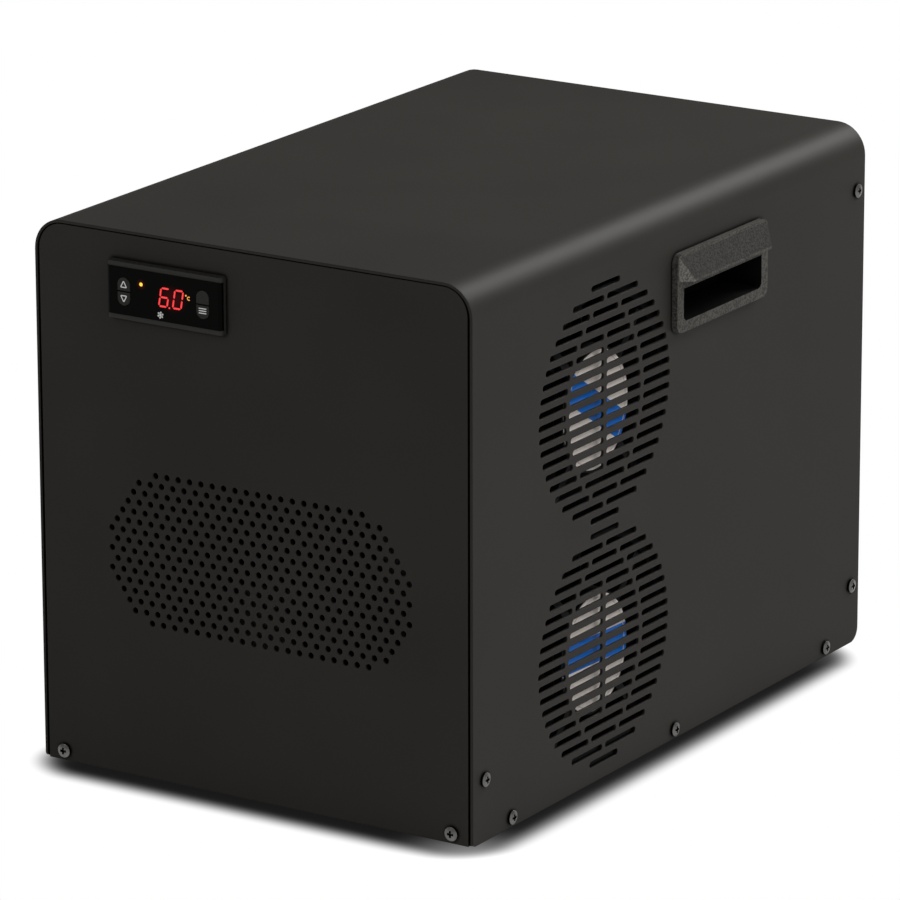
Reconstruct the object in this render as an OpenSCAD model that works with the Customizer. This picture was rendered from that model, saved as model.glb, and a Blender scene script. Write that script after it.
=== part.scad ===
// Ice bath water chiller: a boxed refrigeration unit under a folded sheet cover.
// The origin is at floor level, in the middle of the part's whole footprint.
// +X is the side with the fans, +Y the rear with the water ports, and +Z is up.
// Lengths are in millimetres.

/* [Housing] */
// Outer width of the cover
body_w = 275; // [268:1:310]
// Depth of the cover, front edge to rear edge
body_d = 412; // [402:1:460]
// Height of the cover, lower edge to top
body_h = 303; // [296:1:340]
// Thickness of the cover and of both end panels
sheet_t = 1.5; // [1:0.1:2]
// Thickness of the base pan
base_t = 2; // [1.5:0.1:3]
// Outer radius of the cover's two top corners
corner_r = 17.5; // [10:0.5:26]
// Radius of the lower rear corners of the cover's sides
rear_cut_r = 8; // [4:0.5:12]
// Radius of the lower front corners of the cover's sides
front_cut_r = 2.5; // [1:0.5:4]
// Gap at each side between the cover and the end panels
panel_gap = 1.4; // [0.4:0.1:1.6]
// Gap between either panel's top edge and the cover
panel_top_gap = 0.6; // [0.4:0.1:1.4]
// Depth of the end panels' folded edges
flange_w = 18; // [15:0.5:24]
// Height of the base pan's upturned edges
base_lip = 22; // [16:1:28]

/* [Feet] */
// Height of a rubber foot
foot_h = 8; // [6:0.5:14]
// Diameter of a foot where it meets the base
foot_d = 28; // [24:0.5:34]
// Diameter of a foot where it stands
foot_sole_d = 24; // [20:0.5:24]
// Distance from the cover's sides to a foot's axis
foot_inset = 42; // [36:1:50]

/* [Screws] */
// Diameter of the housing screws' pan heads
head_d = 7.8; // [7:0.1:9]
// Height of a pan head
head_h = 2.1; // [1.8:0.1:3]
// Diameter of a screw's shank
shank_d = 4; // [3.5:0.1:4.5]
// Length of a housing screw under its head
shank_l = 8; // [6:0.5:11]
// Height of the lowest screws above the cover's edge
low_screw_z = 5.5; // [5:0.1:7]
// Distance from a corner to the side's lowest screws
low_screw_y = 38; // [34:1:50]
// Gap from the fans to the middle one of the side's lowest screws
mid_screw_gap = 7.2; // [6:0.1:20]
// Distance from the front edge to the front flange screws
end_screw_y = 11.5; // [8:0.5:13]
// Distance from the rear edge to the rear flange screws
rear_screw_y = 9; // [7:0.5:12]
// Height of the flange screws above the cover's edge
end_screw_z = 34.5; // [30:0.5:50]
// Distance from the cover's top to the upper flange screws
top_screw_z = 36; // [28:1:50]
// Distance from the sides to the front and rear foot screws
face_screw_x = 13; // [10:0.5:20]

/* [Side vents] */
// Distance from a fan's edge in to the ends of the slots over it
vent_margin = 0.5; // [0:0.1:5]
// Height of a slot
slot_h = 3.6; // [3:0.1:4.2]
// Distance from one row of slots to the next
slot_pitch = 7.1; // [6.5:0.1:8]
// Length of the slots at the two ends of a row
slot_l = 27.4; // [22:0.2:32]
// Bar between two slots of a row
slot_web = 3; // [2.4:0.1:4]
// Longest slot before a row is split once more
slot_max = 41; // [36:1:50]
// Shortest slot in the middle of a row
slot_min = 12; // [8:1:18]
// Distance from the front edge to the rings' centre
vent_y = 131.3; // [126:0.1:140]
// Height of the lower ring's centre above the lower fan's shaft
vent_rise = 5.1; // [0:0.1:6]
// How much farther apart the rings are than the fans
vent_spread = 0.8; // [0:0.1:2]

/* [Front grille] */
// Diameter of a round hole
hole_d = 3.5; // [3:0.1:4.2]
// Distance from hole to hole along a row
hole_pitch_x = 7.27; // [6.5:0.01:8]
// Distance from one row of holes to the next
hole_pitch_z = 5.53; // [5:0.01:6.5]
// Sideways place of the field of holes
grille_x = 4; // [-6:0.5:10]
// Height of the field's middle above the cover's edge
grille_z = 129.4; // [120:0.1:150]

/* [Handles] */
// Length of a handle's frame
handle_l = 97; // [94:0.5:110]
// Height of a handle's frame
handle_h = 44; // [44:0.5:52]
// Thickness of the frame in front of the cover
handle_t = 3.5; // [2.5:0.1:5]
// Corner radius of the frame
handle_r = 5; // [3:0.5:8]
// Gap from the fans to the handle's pocket behind them
handle_gap = 5.85; // [4:0.05:16]
// Distance from the cover's top to the handle's middle
handle_drop = 49.9; // [47:0.1:56]
// Width of the mouth
mouth_w = 83.5; // [76:0.1:85]
// Height of the mouth
mouth_h = 18.4; // [15:0.1:20]
// Frame left below the mouth
mouth_sill = 6; // [5:0.1:7]
// Corner radius of the mouth
mouth_r = 3.5; // [2:0.5:5]
// Wall of the pocket behind the mouth
pocket_wall = 2; // [1.5:0.1:2.4]
// Depth of the pocket behind the cover
pocket_d = 26; // [22:0.5:32]
// How far the pocket reaches up behind the lip
pocket_rise = 14.3; // [12:0.1:15]
// How far the hood stands out from the cover
hood_out = 10.4; // [9:0.1:14]
// Height of the hood above the frame's lower edge
hood_low = 29.1; // [28:0.1:33]
// Height of the hood's blunt front edge
hood_edge = 1.6; // [1:0.1:3]
// How far the hood's ends slope in
hood_slope = 6.6; // [4:0.1:12]

/* [Controller] */
// Width of the controller's front
ctl_w = 73.2; // [72:0.1:78]
// Height of the controller's front
ctl_h = 31.9; // [31:0.1:36]
// Sideways place of the controller
ctl_x = -51.3; // [-60:0.1:-45]
// Distance from the cover's top to the controller's middle
ctl_drop = 31.8; // [29:0.1:41]
// Thickness of the thin outer step
ctl_flange_t = 1.8; // [1:0.1:2.4]
// Width of the outer step that shows above and below
ctl_step = 0.4; // [0.2:0.1:2]
// How far the two ridges stand out from the panel
ctl_ridge_out = 4; // [3.4:0.1:4.2]
// How far the window stands out from the panel
window_out = 4.6; // [4.4:0.1:5]
// Thickness of the window
window_t = 2.6; // [2.2:0.1:2.9]
// Height of the window
window_h = 25.8; // [25:0.1:27]
// Corner radius of the controller's front, seen from above
ctl_end_r = 2; // [1:0.1:2.5]
// Width of the case behind the panel
case_w = 70.5; // [68:0.1:71]
// Height of the case behind the panel
case_h = 28.5; // [27:0.1:29]
// Depth of the case behind the panel
case_d = 58; // [50:1:66]
// Width of a key
key_w = 7.8; // [7.4:0.1:9]
// Height of a pair of keys
keys_h = 15.2; // [14.6:0.1:17]
// Gap between the two keys of a pair
key_split = 0.8; // [0.6:0.1:1]
// How far a key stands out from the window
key_proud = 0.5; // [0.3:0.1:0.6]
// Travel of a key
key_travel = 0.5; // [0.3:0.1:0.6]
// Sideways distance from the window's middle to a pair of keys
keys_x = 25.2; // [24:0.1:27]

/* [Fans] */
// Clear height over the two fans, which fill the rest
fan_head = 29; // [29:0.5:40]
// Depth of a fan
fan_t = 38; // [36:0.5:40]
// Distance from a fan's edge to its air duct
duct_margin = 4; // [4:0.1:7]
// Wall of the duct
duct_wall = 2.5; // [2:0.1:3]
// Thickness of the frame's two square flanges
fan_flange_t = 4; // [3:0.1:5]
// Gap from the base pan's edge to a fan's flange
fan_gap = 0.3; // [0.2:0.1:2]
// Gap between the two fans
fan_split = 0.5; // [0.3:0.1:1]
// Radius of the fixed hub that carries the label
hub_r = 34; // [32:0.1:35]
// Thickness of the fixed hub and its struts
hub_t = 5; // [4:0.1:6]
// Distance from the flange's face back to the hub's face
hub_recess = 2.1; // [1.5:0.1:3]
// Width of a strut
strut_w = 5; // [4:0.1:7]
// Margin of the hub left round the label
label_margin = 1.3; // [0.5:0.1:3]
// Thickness of the label
label_t = 0.3; // [0.2:0.1:0.5]
// Radius of a fan's shaft
shaft_r = 4; // [3:0.1:5]
// Radial clearance of the shaft in its bearing
shaft_fit = 0.05; // [0.02:0.01:0.08]
// Wall of the bearing tube
bearing_wall = 5; // [4:0.5:7]
// Outer radius of the rotor's steel cup
cup_r = 33; // [31:0.1:33.5]
// Wall of the rotor's cup
cup_wall = 2; // [1.5:0.1:2.5]
// Depth of the rotor's cup
cup_d = 26; // [24:0.5:27]
// Wall of the impeller's ring
ring_wall = 2.2; // [1.8:0.1:2.6]
// Gap from the blade tips to the duct
tip_gap = 1.5; // [1.2:0.1:2.5]
// Depth of a blade along the shaft
blade_d = 19; // [16:0.5:21]
// Thickness of a blade
blade_t = 1.8; // [1.4:0.1:2.4]
// Number of blades
blade_n = 7; // [5:1:9]
// Turn of a blade from edge to edge, in degrees
blade_turn = 40; // [30:1:44]
// Lean of a blade from root to tip, in degrees
blade_lean = 12; // [0:1:16]

/* [Condenser] */
// Depth of the finned block
fin_d = 44; // [38:1:48]
// How much nearer the middle the end plates stand than the fans' edges
fin_margin = 6.5; // [5.5:0.5:10]
// Number of fins
fin_n = 36; // [24:1:44]
// Thickness of a fin
fin_t = 0.4; // [0.3:0.1:0.6]
// Radius of the condenser's tubes
coil_r = 4.75; // [4:0.05:5]
// Distance from one tube to the next
coil_pitch = 25.4; // [24:0.1:26]
// Clearance of a tube in a fin
coil_fit = 0.1; // [0.05:0.05:0.2]
// Depth of the shroud's folded edges
shroud_lip = 12; // [10:0.5:16]

/* [Compressor] */
// Gap from the filter drier to the shell, which fills the room that is left
drier_gap = 5.3; // [5:0.1:10]
// Clear height over the shell
shell_head = 120.5; // [112:0.5:134]
// Corner radius of the shell's two domes
shell_dome = 26; // [18:0.5:32]
// Distance from the cover's side to the shell
comp_side = 36; // [32:0.5:36]
// Distance from the cover's rear edge to the shell
comp_rear = 58; // [54:0.5:64]
// Height of the rubber mounts
grommet_h = 12; // [10:0.5:16]
// Thickness of the compressor's base plate
plate_t = 3; // [2:0.1:4]
// Distance from the shell out to the mounts' axes
mount_clear = 12.1; // [11.5:0.1:14]
// Least gap between the compressor's base plate and the heat exchanger's bracket
plate_gap = 4.9; // [2:0.1:6]

/* [Water circuit] */
// Radius of the heat exchanger's barrel
barrel_r = 42; // [38:0.5:44]
// Clear height over the barrel's upper cap
barrel_head = 94; // [84:1:110]
// Height of a cap
cap_h = 14; // [10:0.5:16]
// Distance from the cover's side to the barrel's caps
barrel_side = 10; // [6:0.5:10]
// Distance from the cover's rear edge to the barrel's axis
barrel_rear = 118; // [116:0.5:130]
// Height of the lower water port above the cover's edge
port_z = 58; // [50:1:70]
// Distance from the barrel's upper cap down to the upper water port
port_drop = 25.5; // [18:0.5:40]
// Radius of a port's thread
port_r = 13.2; // [12:0.1:13.2]
// Length of a port's thread behind the unit
port_l = 16; // [14:0.5:20]
// Radius of the water way
port_bore = 8; // [6:0.1:8.5]
// Radius of the hose tails inside
tail_r = 10; // [9.5:0.1:10.5]
// Width across the flats of the ports' flanges and nuts
port_af = 34; // [32:0.5:36]
// Thickness of a port's flange
port_flange_t = 6; // [5:0.5:8]
// Thickness of a port's seal
seal_t = 2; // [1.5:0.1:3]
// Wall of the inner hoses
hose_wall = 3.4; // [2.5:0.1:4]

/* [Mains inlet] */
// Sideways place of the mains inlet
inlet_x = 62; // [50:1:80]
// Distance from the cover's top to the mains inlet's middle
inlet_drop = 55; // [47:1:67]
// Width of the inlet's flange
inlet_w = 50; // [48:0.5:54]
// Height of the inlet's flange
inlet_h = 24; // [23:0.5:28]
// Thickness of the inlet's flange
inlet_t = 3; // [2:0.1:4]
// Depth of the inlet's body behind the panel
inlet_d = 24; // [22:0.5:30]
// Width of the socket
socket_w = 24; // [23:0.1:24.5]
// Height of the socket
socket_h = 16.5; // [16:0.1:17]

/* [Hidden] */
$fn = 48;

// Overrun of every cut
over = 1;
// Gap between flat pieces that only lie near each other
fit = 0.3;
// Gap between pieces of one body that sit one inside the other
snug = 0.05;

// Reach of the controller's keys in front of the cover and of the ports behind it
front_proud = window_out + key_proud;
rear_proud = seal_t + port_flange_t + port_l;
x_out = body_w / 2;
x_in = x_out - sheet_t;
y_front = front_proud - (body_d + front_proud + rear_proud) / 2;
y_rear = y_front + body_d;
z_base = foot_h;
z_floor = z_base + base_t;
z_top = z_base + body_h;
panel_w = body_w - 2 * (sheet_t + panel_gap);
panel_h = body_h - sheet_t - panel_top_gap;
panel_r = corner_r - sheet_t - panel_gap;
hole_clear = shank_d / 2 + 2 * fit / 3;
nut_h = 3;

// Cross recess of every screw's head
cross_share = 0.5;
cross_w_share = 0.17;
cross_depth_share = 0.6;
head_dome_share = 1.2;

// Holes in each row of the front grille, from the top row down
hole_counts = [19, 22, 23, 24, 25, 26, 27, 26, 27, 26, 27, 26, 25, 24, 23, 20];
vent_edge = 1.5;

// Handle: the lower edge of its frame is the zero of its own heights
mouth_top = mouth_sill + mouth_h;
pocket_top = mouth_top + pocket_rise;
lug_l = 8;
lug_w = 3;
lug_out = 1.4;

// Fans: their size, their places along X, and the two axes
fan_w = (body_h - base_t - sheet_t - fan_head - fan_split) / 2;
duct_r = fan_w / 2 - duct_margin;
label_r = hub_r - label_margin;
fan_x1 = x_in - fit - base_t - fan_gap;
fan_x0 = fan_x1 - fan_t;
fan_y = y_front + vent_y;
fan_z_low = z_floor + fan_w / 2;
fan_z_high = fan_z_low + fan_w + fan_split;
hub_face = fan_t - hub_recess;
hub_back = hub_face - hub_t;
rotor_gap = 1;
cup_open = hub_back - rotor_gap;
cup_end = cup_open - cup_d;
fan_hole_inset = 5.75;
fan_hole_at = fan_w / 2 - fan_hole_inset;
fan_corner_r = 6;
stator_gap = 1.6;
ring_r = cup_r + snug + ring_wall;
tip_r = duct_r - tip_gap;
blade_x0 = cup_end + (cup_d - blade_d) / 2;
bearing_l = 18;
blade_taper_share = 0.3;
blade_edge_share = 0.6;

// Places on the cover that follow what is behind it or its top
vent_r = fan_w / 2 - vent_margin;
vent_rows = 2 * floor((vent_r - vent_edge) / slot_pitch) + 1;
vent_z = base_t + fan_w / 2 + vent_rise;
vent_step = fan_w + fan_split + vent_spread;
handle_y = vent_y + fan_w / 2 + handle_gap + pocket_wall + mouth_w / 2;
handle_z = body_h - handle_drop;
ctl_z = body_h - ctl_drop;
inlet_z = body_h - inlet_drop;

// Places of the housing screws
low_screws_y = [low_screw_y, vent_y + fan_w / 2 + mid_screw_gap, body_d - low_screw_y];
flange_screws = [
    [end_screw_y, end_screw_z],
    [body_d - rear_screw_y, end_screw_z],
    [body_d - rear_screw_y, body_h - top_screw_z]
];
side_screws = concat([for (y = low_screws_y) [y, low_screw_z]], flange_screws);
face_screws = [for (s = [-1, 1]) [s * (x_out - face_screw_x), low_screw_z]];

// Condenser: hung behind the shroud on two end plates
shroud_x0 = fan_x0 - sheet_t;
fin_x1 = shroud_x0 - shroud_lip - fit;
fin_x0 = fin_x1 - fin_d;
fin_x = (fin_x0 + fin_x1) / 2;
stack_h = 2 * fan_w + fan_split;
fin_h = stack_h - 2 * sheet_t;
coil_n = 2 * floor(fin_h / coil_pitch / 2);
coil_mid = z_floor + stack_h / 2;
coil_z = [for (i = [0 : coil_n - 1]) coil_mid + ((coil_n - 1) / 2 - i) * coil_pitch];
fin_span = fan_w - 2 * fin_margin;
fin_y0 = fan_y - fin_span / 2;
fin_y1 = fan_y + fin_span / 2;
coil_y0 = fin_y0 - sheet_t;
coil_y1 = fin_y1 + sheet_t;
end_lip = 12;

// Water circuit
cap_out = 4;
cap_r = barrel_r + cap_out;
barrel_x = cap_r + barrel_side - x_in;
barrel_y = y_rear - barrel_rear;
barrel_z0 = z_floor + cap_h + sheet_t;
barrel_top = z_top - sheet_t - barrel_head - cap_h;
barrel_h = barrel_top - barrel_z0;
tail_l = 26;
nozzle_l = 22;
seal_r = port_af / 2 + 1;
port_zs = [z_base + port_z, barrel_top - port_drop];
hose_in = tail_r + snug;
hose_out = hose_in + hose_wall;
nozzle_end = barrel_y + barrel_r + nozzle_l;
tail_end = y_rear - sheet_t - tail_l;
clamp_w = 8;
clamp_t = 1;
bracket_x1 = barrel_x + cap_r + snug + sheet_t;

// Filter drier, behind the condenser
drier_r = 9.5;
drier_l = 90;
drier_side = 59.6;
drier_base_h = 27.05;
drier_x = fin_x - drier_side;
drier_y = coil_y1 + coil_pitch;
drier_z0 = coil_z[coil_n - 1] + drier_base_h;

// Compressor: as large as the room across and the room along allow
seam_out = 1.6;
seam_h = 5;
stub_r = 5;
stub_l = 9;
grommet_r = 11;
stud_r = 3;
terminal_w = 44;
terminal_d = 20;
terminal_top_h = 25;
dome_share = 0.6;
stub_share = 0.4;
plate_rim = 1.5 * grommet_r;
room_x = x_in - comp_side - plate_rim - mount_clear / sqrt(2) - bracket_x1 - plate_gap;
room_y = y_rear - comp_rear - drier_y - drier_r - drier_gap;
shell_r = min(room_x / (1 + 1 / sqrt(2)), room_y / 2);
mount_span = sqrt(2) * (shell_r + mount_clear);
dome_r = min(shell_dome, shell_r * dome_share);
comp_x = x_in - comp_side - shell_r;
comp_y = y_rear - comp_rear - shell_r;
comp_z0 = z_floor + grommet_h + plate_t;
comp_top = z_top - sheet_t - shell_head;
shell_h = comp_top - comp_z0;
terminal_h = shell_h / 2 - seam_h - terminal_top_h;
stub_at = stub_share * shell_r;

// Refrigerant pipes
pipe_r = 4;
bend_r = 14;
cap_tube_r = 1.5;
leg_in = 0.5;
pipe_top = barrel_top + cap_h + stub_l + bend_r + pipe_r;

// Run capacitor
cap_body_r = 20;
cap_body_h = 70;
cap_side = 66;
cap_front = 110;
cap_at = [cap_side - x_in, y_front + cap_front];

// Mains inlet
inlet_r = 4;
inlet_body_w = 27.5;
inlet_body_h = 20;
inlet_screw_x = 20;
inlet_head_d = 5.5;
inlet_head_h = 1.8;
inlet_shank_d = 3;
socket_d = 15;
socket_corner = 5;
pin_w = 2;
pin_h = 4;
pin_l = 13;
pin_x = 7;

// Colours
case_black = [0.13, 0.13, 0.12];
plastic_grey = [0.2, 0.2, 0.19];
zinc = [0.75, 0.76, 0.77];
copper = [0.75, 0.45, 0.3];

function unit(v) = v / norm(v);
function turn_z(v, a) = [v.x * cos(a) - v.y * sin(a), v.x * sin(a) + v.y * cos(a), v.z];
function turn_y(v, a) = [v.x * cos(a) + v.z * sin(a), v.y, v.z * cos(a) - v.x * sin(a)];
function azimuth(d) = atan2(d.y, d.x);
function tilt(d) = atan2(norm([d.x, d.y]), d.z);
function bend_angle(a, b) = acos(a * b);
function setback(p, q, r, bend) = bend * tan(bend_angle(unit(q - p), unit(r - q)) / 2);

// A rectangle with four round corners, centred
module rounded_rect(w, h, r) {
    square([w - 2 * r, h], center = true);
    square([w, h - 2 * r], center = true);
    for (x = [-1, 1], y = [-1, 1]) {
        translate([x * (w / 2 - r), y * (h / 2 - r)]) circle(r = r);
    }
}

// A rectangle that stands on the X axis, with two round top corners
module arch(w, h, r) {
    translate([-w / 2, 0]) square([w, h - r]);
    translate([r - w / 2, 0]) square([w - 2 * r, h]);
    for (x = [-1, 1]) {
        translate([x * (w / 2 - r), h - r]) circle(r = r);
    }
}

// A slot with round ends, centred
module slot(l, h) {
    square([l - h, h], center = true);
    for (x = [-1, 1]) {
        translate([x * (l - h) / 2, 0]) circle(d = h);
    }
}

// Lifts a drawing of Y and Z into place and extrudes it along +X
module along_x(h) {
    rotate([90, 0, 90]) linear_extrude(height = h) children();
}

// Lifts a drawing of X and Z into place and extrudes it along -Y
module towards_front(h) {
    rotate([90, 0, 0]) linear_extrude(height = h) children();
}

// A pan-head screw with a cross recess: the head stands on the origin and the shank hangs below
module pan_screw(d, h, shank, l) {
    difference() {
        intersection() {
            cylinder(h = h, d = d);
            translate([0, 0, h - d * head_dome_share]) sphere(r = d * head_dome_share);
        }
        for (a = [0, 90]) {
            rotate([0, 0, a]) translate([-d * cross_share / 2, -d * cross_w_share / 2, h * (1 - cross_depth_share)])
                cube([d * cross_share, d * cross_w_share, h]);
        }
    }
    translate([0, 0, -l]) cylinder(h = l, d = shank);
}

// A hexagonal nut with a bore, standing on the origin
module hex_nut(af, h, bore) {
    difference() {
        cylinder(h = h, d = af / cos(30), $fn = 6);
        translate([0, 0, -over]) cylinder(h = h + 2 * over, r = bore);
    }
}

// A round pipe along a list of points: the legs reach a short way into the arcs, which are a hair thicker
module pipe(points, r, bend) {
    last = len(points) - 1;
    for (i = [0 : last - 1]) {
        a = points[i];
        b = points[i + 1];
        d = unit(b - a);
        start = i == 0 ? 0 : setback(points[i - 1], a, b, bend);
        stop = i == last - 1 ? 0 : setback(a, b, points[i + 2], bend);
        leg0 = start - min(leg_in, start / 2);
        leg1 = stop - min(leg_in, stop / 2);
        translate(a + d * leg0) rotate([0, tilt(d), azimuth(d)]) cylinder(h = norm(b - a) - leg0 - leg1, r = r);
    }
    for (i = [1 : 1 : last - 1]) {
        elbow(points[i], unit(points[i] - points[i - 1]), unit(points[i + 1] - points[i]), r + snug, bend);
    }
}

// The arc of a pipe that arrives at a corner along d and leaves it along e
module elbow(p, d, e, r, bend) {
    angle = bend_angle(d, e);
    side = turn_y(turn_z(e, -azimuth(d)), -tilt(d));
    translate(p - d * bend * tan(angle / 2)) rotate([0, tilt(d), azimuth(d)])
        rotate([0, 0, atan2(side.y, side.x)]) translate([bend, 0, 0]) rotate([90, 0, 180])
            rotate_extrude(angle = angle) translate([bend, 0]) circle(r = r);
}

// Sheet cover

// One ring of slots, in Y and Z
module vent_ring() {
    for (i = [0 : vent_rows - 1]) {
        z = (i - (vent_rows - 1) / 2) * slot_pitch;
        edge = abs(z) + vent_edge;
        if (edge < vent_r) {
            row = 2 * sqrt(vent_r * vent_r - edge * edge);
            inner = row - 2 * slot_l - 2 * slot_web;
            translate([0, z]) vent_row(row, inner);
        }
    }
}

// The slots of one row: one, two, three or four, as the row's length allows
module vent_row(row, inner) {
    if (row <= slot_max) {
        slot(row, slot_h);
    } else if (inner < slot_min) {
        half = (row - slot_web) / 2;
        for (s = [-1, 1]) translate([s * (half + slot_web) / 2, 0]) slot(half, slot_h);
    } else {
        for (s = [-1, 1]) translate([s * (row - slot_l) / 2, 0]) slot(slot_l, slot_h);
        if (inner <= slot_max) {
            slot(inner, slot_h);
        } else {
            half = (inner - slot_web) / 2;
            for (s = [-1, 1]) translate([s * (half + slot_web) / 2, 0]) slot(half, slot_h);
        }
    }
}

// The quarter of a square that a round corner leaves, with the corner at the origin
module corner_scrap(r) {
    difference() {
        translate([-over, -over]) square([r + over, r + over]);
        translate([r, r]) circle(r = r);
    }
}

// Outline of one side of the cover, in Y and Z from the front lower corner
module side_outline() {
    difference() {
        square([body_d, body_h]);
        corner_scrap(front_cut_r);
        translate([body_d, 0]) mirror([1, 0]) corner_scrap(rear_cut_r);
    }
}

// The slots over the two fans, in Y and Z from the front lower corner
module vents() {
    for (i = [0, 1]) {
        translate([vent_y, vent_z + i * vent_step]) vent_ring();
    }
}

// Everything that is cut through both sides, in Y and Z from the front lower corner
module side_cuts() {
    for (p = side_screws) translate(p) circle(r = hole_clear);
    translate([handle_y, handle_z - handle_h / 2]) pocket_outline(pocket_wall + fit);
}

module wrap_cover() {
    color(case_black) difference() {
        intersection() {
            translate([0, y_rear, z_base]) towards_front(body_d) difference() {
                arch(body_w, body_h, corner_r);
                translate([0, -over]) arch(2 * x_in, body_h - sheet_t + over, corner_r - sheet_t);
            }
            translate([-x_out, y_front, z_base]) along_x(body_w) side_outline();
        }
        translate([-x_out - over, y_front, z_base]) along_x(body_w + 2 * over) side_cuts();
        translate([0, y_front, z_base]) along_x(x_out + over) vents();
    }
}

// End panels

// A panel's plate with its folded edges: the plate's outer face lies on the origin's plane, facing -Y
module end_panel() {
    rotate([-90, 0, 0]) mirror([0, 1, 0]) {
        linear_extrude(height = sheet_t) difference() {
            arch(panel_w, panel_h, panel_r);
            for (p = face_screws) translate(p) circle(r = hole_clear);
            children();
        }
        linear_extrude(height = flange_w) difference() {
            arch(panel_w, panel_h, panel_r);
            translate([0, -over]) arch(panel_w - 2 * sheet_t, panel_h - sheet_t + over, panel_r - sheet_t);
            translate([-x_out, -over]) square([body_w, base_lip + fit + over]);
        }
    }
}

// Holes in an end panel's folded edges for the cover's screws
module flange_holes(points) {
    for (p = points) {
        translate([-x_out, p.x, z_base + p.y]) rotate([0, 90, 0]) cylinder(h = body_w, r = shank_d / 2 + snug);
    }
}

// The field of round holes, row by row from the top
module grille_holes() {
    rows = len(hole_counts);
    for (i = [0 : rows - 1], k = [0 : hole_counts[i] - 1]) {
        translate([
            grille_x + (k - (hole_counts[i] - 1) / 2) * hole_pitch_x,
            grille_z + ((rows - 1) / 2 - i) * hole_pitch_z
        ]) circle(d = hole_d);
    }
}

module front_panel() {
    color(case_black) difference() {
        translate([0, y_front, z_base]) end_panel() {
            grille_holes();
            translate([ctl_x, ctl_z]) square([case_w + 2 * fit, case_h + 2 * fit], center = true);
        }
        translate([0, y_front, 0]) flange_holes([flange_screws[0]]);
    }
}

module rear_panel() {
    color(case_black) difference() {
        translate([0, y_rear, z_base]) rotate([0, 0, 180]) end_panel() {
            for (z = port_zs) translate([-barrel_x, z - z_base]) circle(r = port_r + fit);
            translate([-inlet_x, inlet_z]) {
                square([inlet_body_w + 2 * fit, inlet_body_h + 2 * fit], center = true);
                for (s = [-1, 1]) translate([s * inlet_screw_x, 0]) circle(r = inlet_shank_d / 2 + snug);
            }
        }
        translate([0, y_front, 0]) flange_holes([flange_screws[1], flange_screws[2]]);
    }
}

// Base

base_x = x_in - fit;
base_y0 = y_front + sheet_t + fit;
base_y1 = y_rear - sheet_t - fit;
feet_at = [for (x = [-1, 1], y = [y_front + foot_inset, y_rear - foot_inset]) [x * (x_out - foot_inset), y]];
mounts_at = [for (x = [-1, 1], y = [-1, 1]) [comp_x + x * mount_span / 2, comp_y + y * mount_span / 2]];
foot_screw_tip = 7;
foot_screw_l = foot_h / 2 + base_t + foot_screw_tip;

module base_pan() {
    color(case_black) difference() {
        translate([-base_x, base_y0, z_base]) cube([2 * base_x, base_y1 - base_y0, base_lip]);
        translate([base_t - base_x, base_y0 + base_t, z_floor])
            cube([2 * (base_x - base_t), base_y1 - base_y0 - 2 * base_t, base_lip]);
        for (p = feet_at) translate([p.x, p.y, z_base - over]) cylinder(h = base_t + 2 * over, r = hole_clear);
        for (p = mounts_at) translate([p.x, p.y, z_base - over]) cylinder(h = base_t + 2 * over, r = stud_r + snug);
        for (y = low_screws_y) translate([-x_out, y_front + y, z_base + low_screw_z])
            rotate([0, 90, 0]) cylinder(h = body_w, r = shank_d / 2 + snug);
        for (p = face_screws) translate([p.x, y_front, z_base + p.y])
            rotate([-90, 0, 0]) cylinder(h = body_d, r = shank_d / 2 + snug);
    }
}

// A foot is a short cone with a well for its screw's head
module feet() {
    color([0.08, 0.08, 0.08]) for (p = feet_at) translate([p.x, p.y, 0]) difference() {
        cylinder(h = foot_h, d1 = foot_sole_d, d2 = foot_d);
        translate([0, 0, -over]) cylinder(h = foot_h / 2 + over, d = head_d + 2 * over);
        cylinder(h = foot_h + over, r = hole_clear);
    }
}

module foot_screws() {
    color(zinc) for (p = feet_at) translate([p.x, p.y, foot_h / 2]) {
        rotate([180, 0, 0]) pan_screw(head_d, head_h, shank_d, foot_screw_l);
        translate([0, 0, z_floor - foot_h / 2]) hex_nut(head_d - over, nut_h, shank_d / 2 + snug);
    }
}

module cover_screws() {
    color(zinc) for (s = [-1, 1], p = side_screws) {
        translate([s * x_out, y_front + p.x, z_base + p.y]) rotate([0, s * 90, 0])
            pan_screw(head_d, head_h, shank_d, shank_l);
    }
}

module panel_screws() {
    color(zinc) for (p = face_screws) {
        translate([p.x, y_front, z_base + p.y]) rotate([90, 0, 0]) pan_screw(head_d, head_h, shank_d, shank_l);
        translate([p.x, y_rear, z_base + p.y]) rotate([-90, 0, 0]) pan_screw(head_d, head_h, shank_d, shank_l);
    }
}

// Handles, drawn in length and height from the middle of the frame's lower edge, and out along Z

// Outline of the pocket, grown by a margin
module pocket_outline(margin) {
    translate([-mouth_w / 2 - margin, mouth_sill - margin])
        square([mouth_w + 2 * margin, pocket_top - mouth_sill + 2 * margin]);
}

// The mouth, with two round lower corners
module mouth_outline() {
    difference() {
        translate([-mouth_w / 2, mouth_sill]) square([mouth_w, mouth_h]);
        for (s = [0, 1]) mirror([s, 0]) translate([-mouth_w / 2, mouth_sill]) corner_scrap(mouth_r);
    }
}

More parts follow.
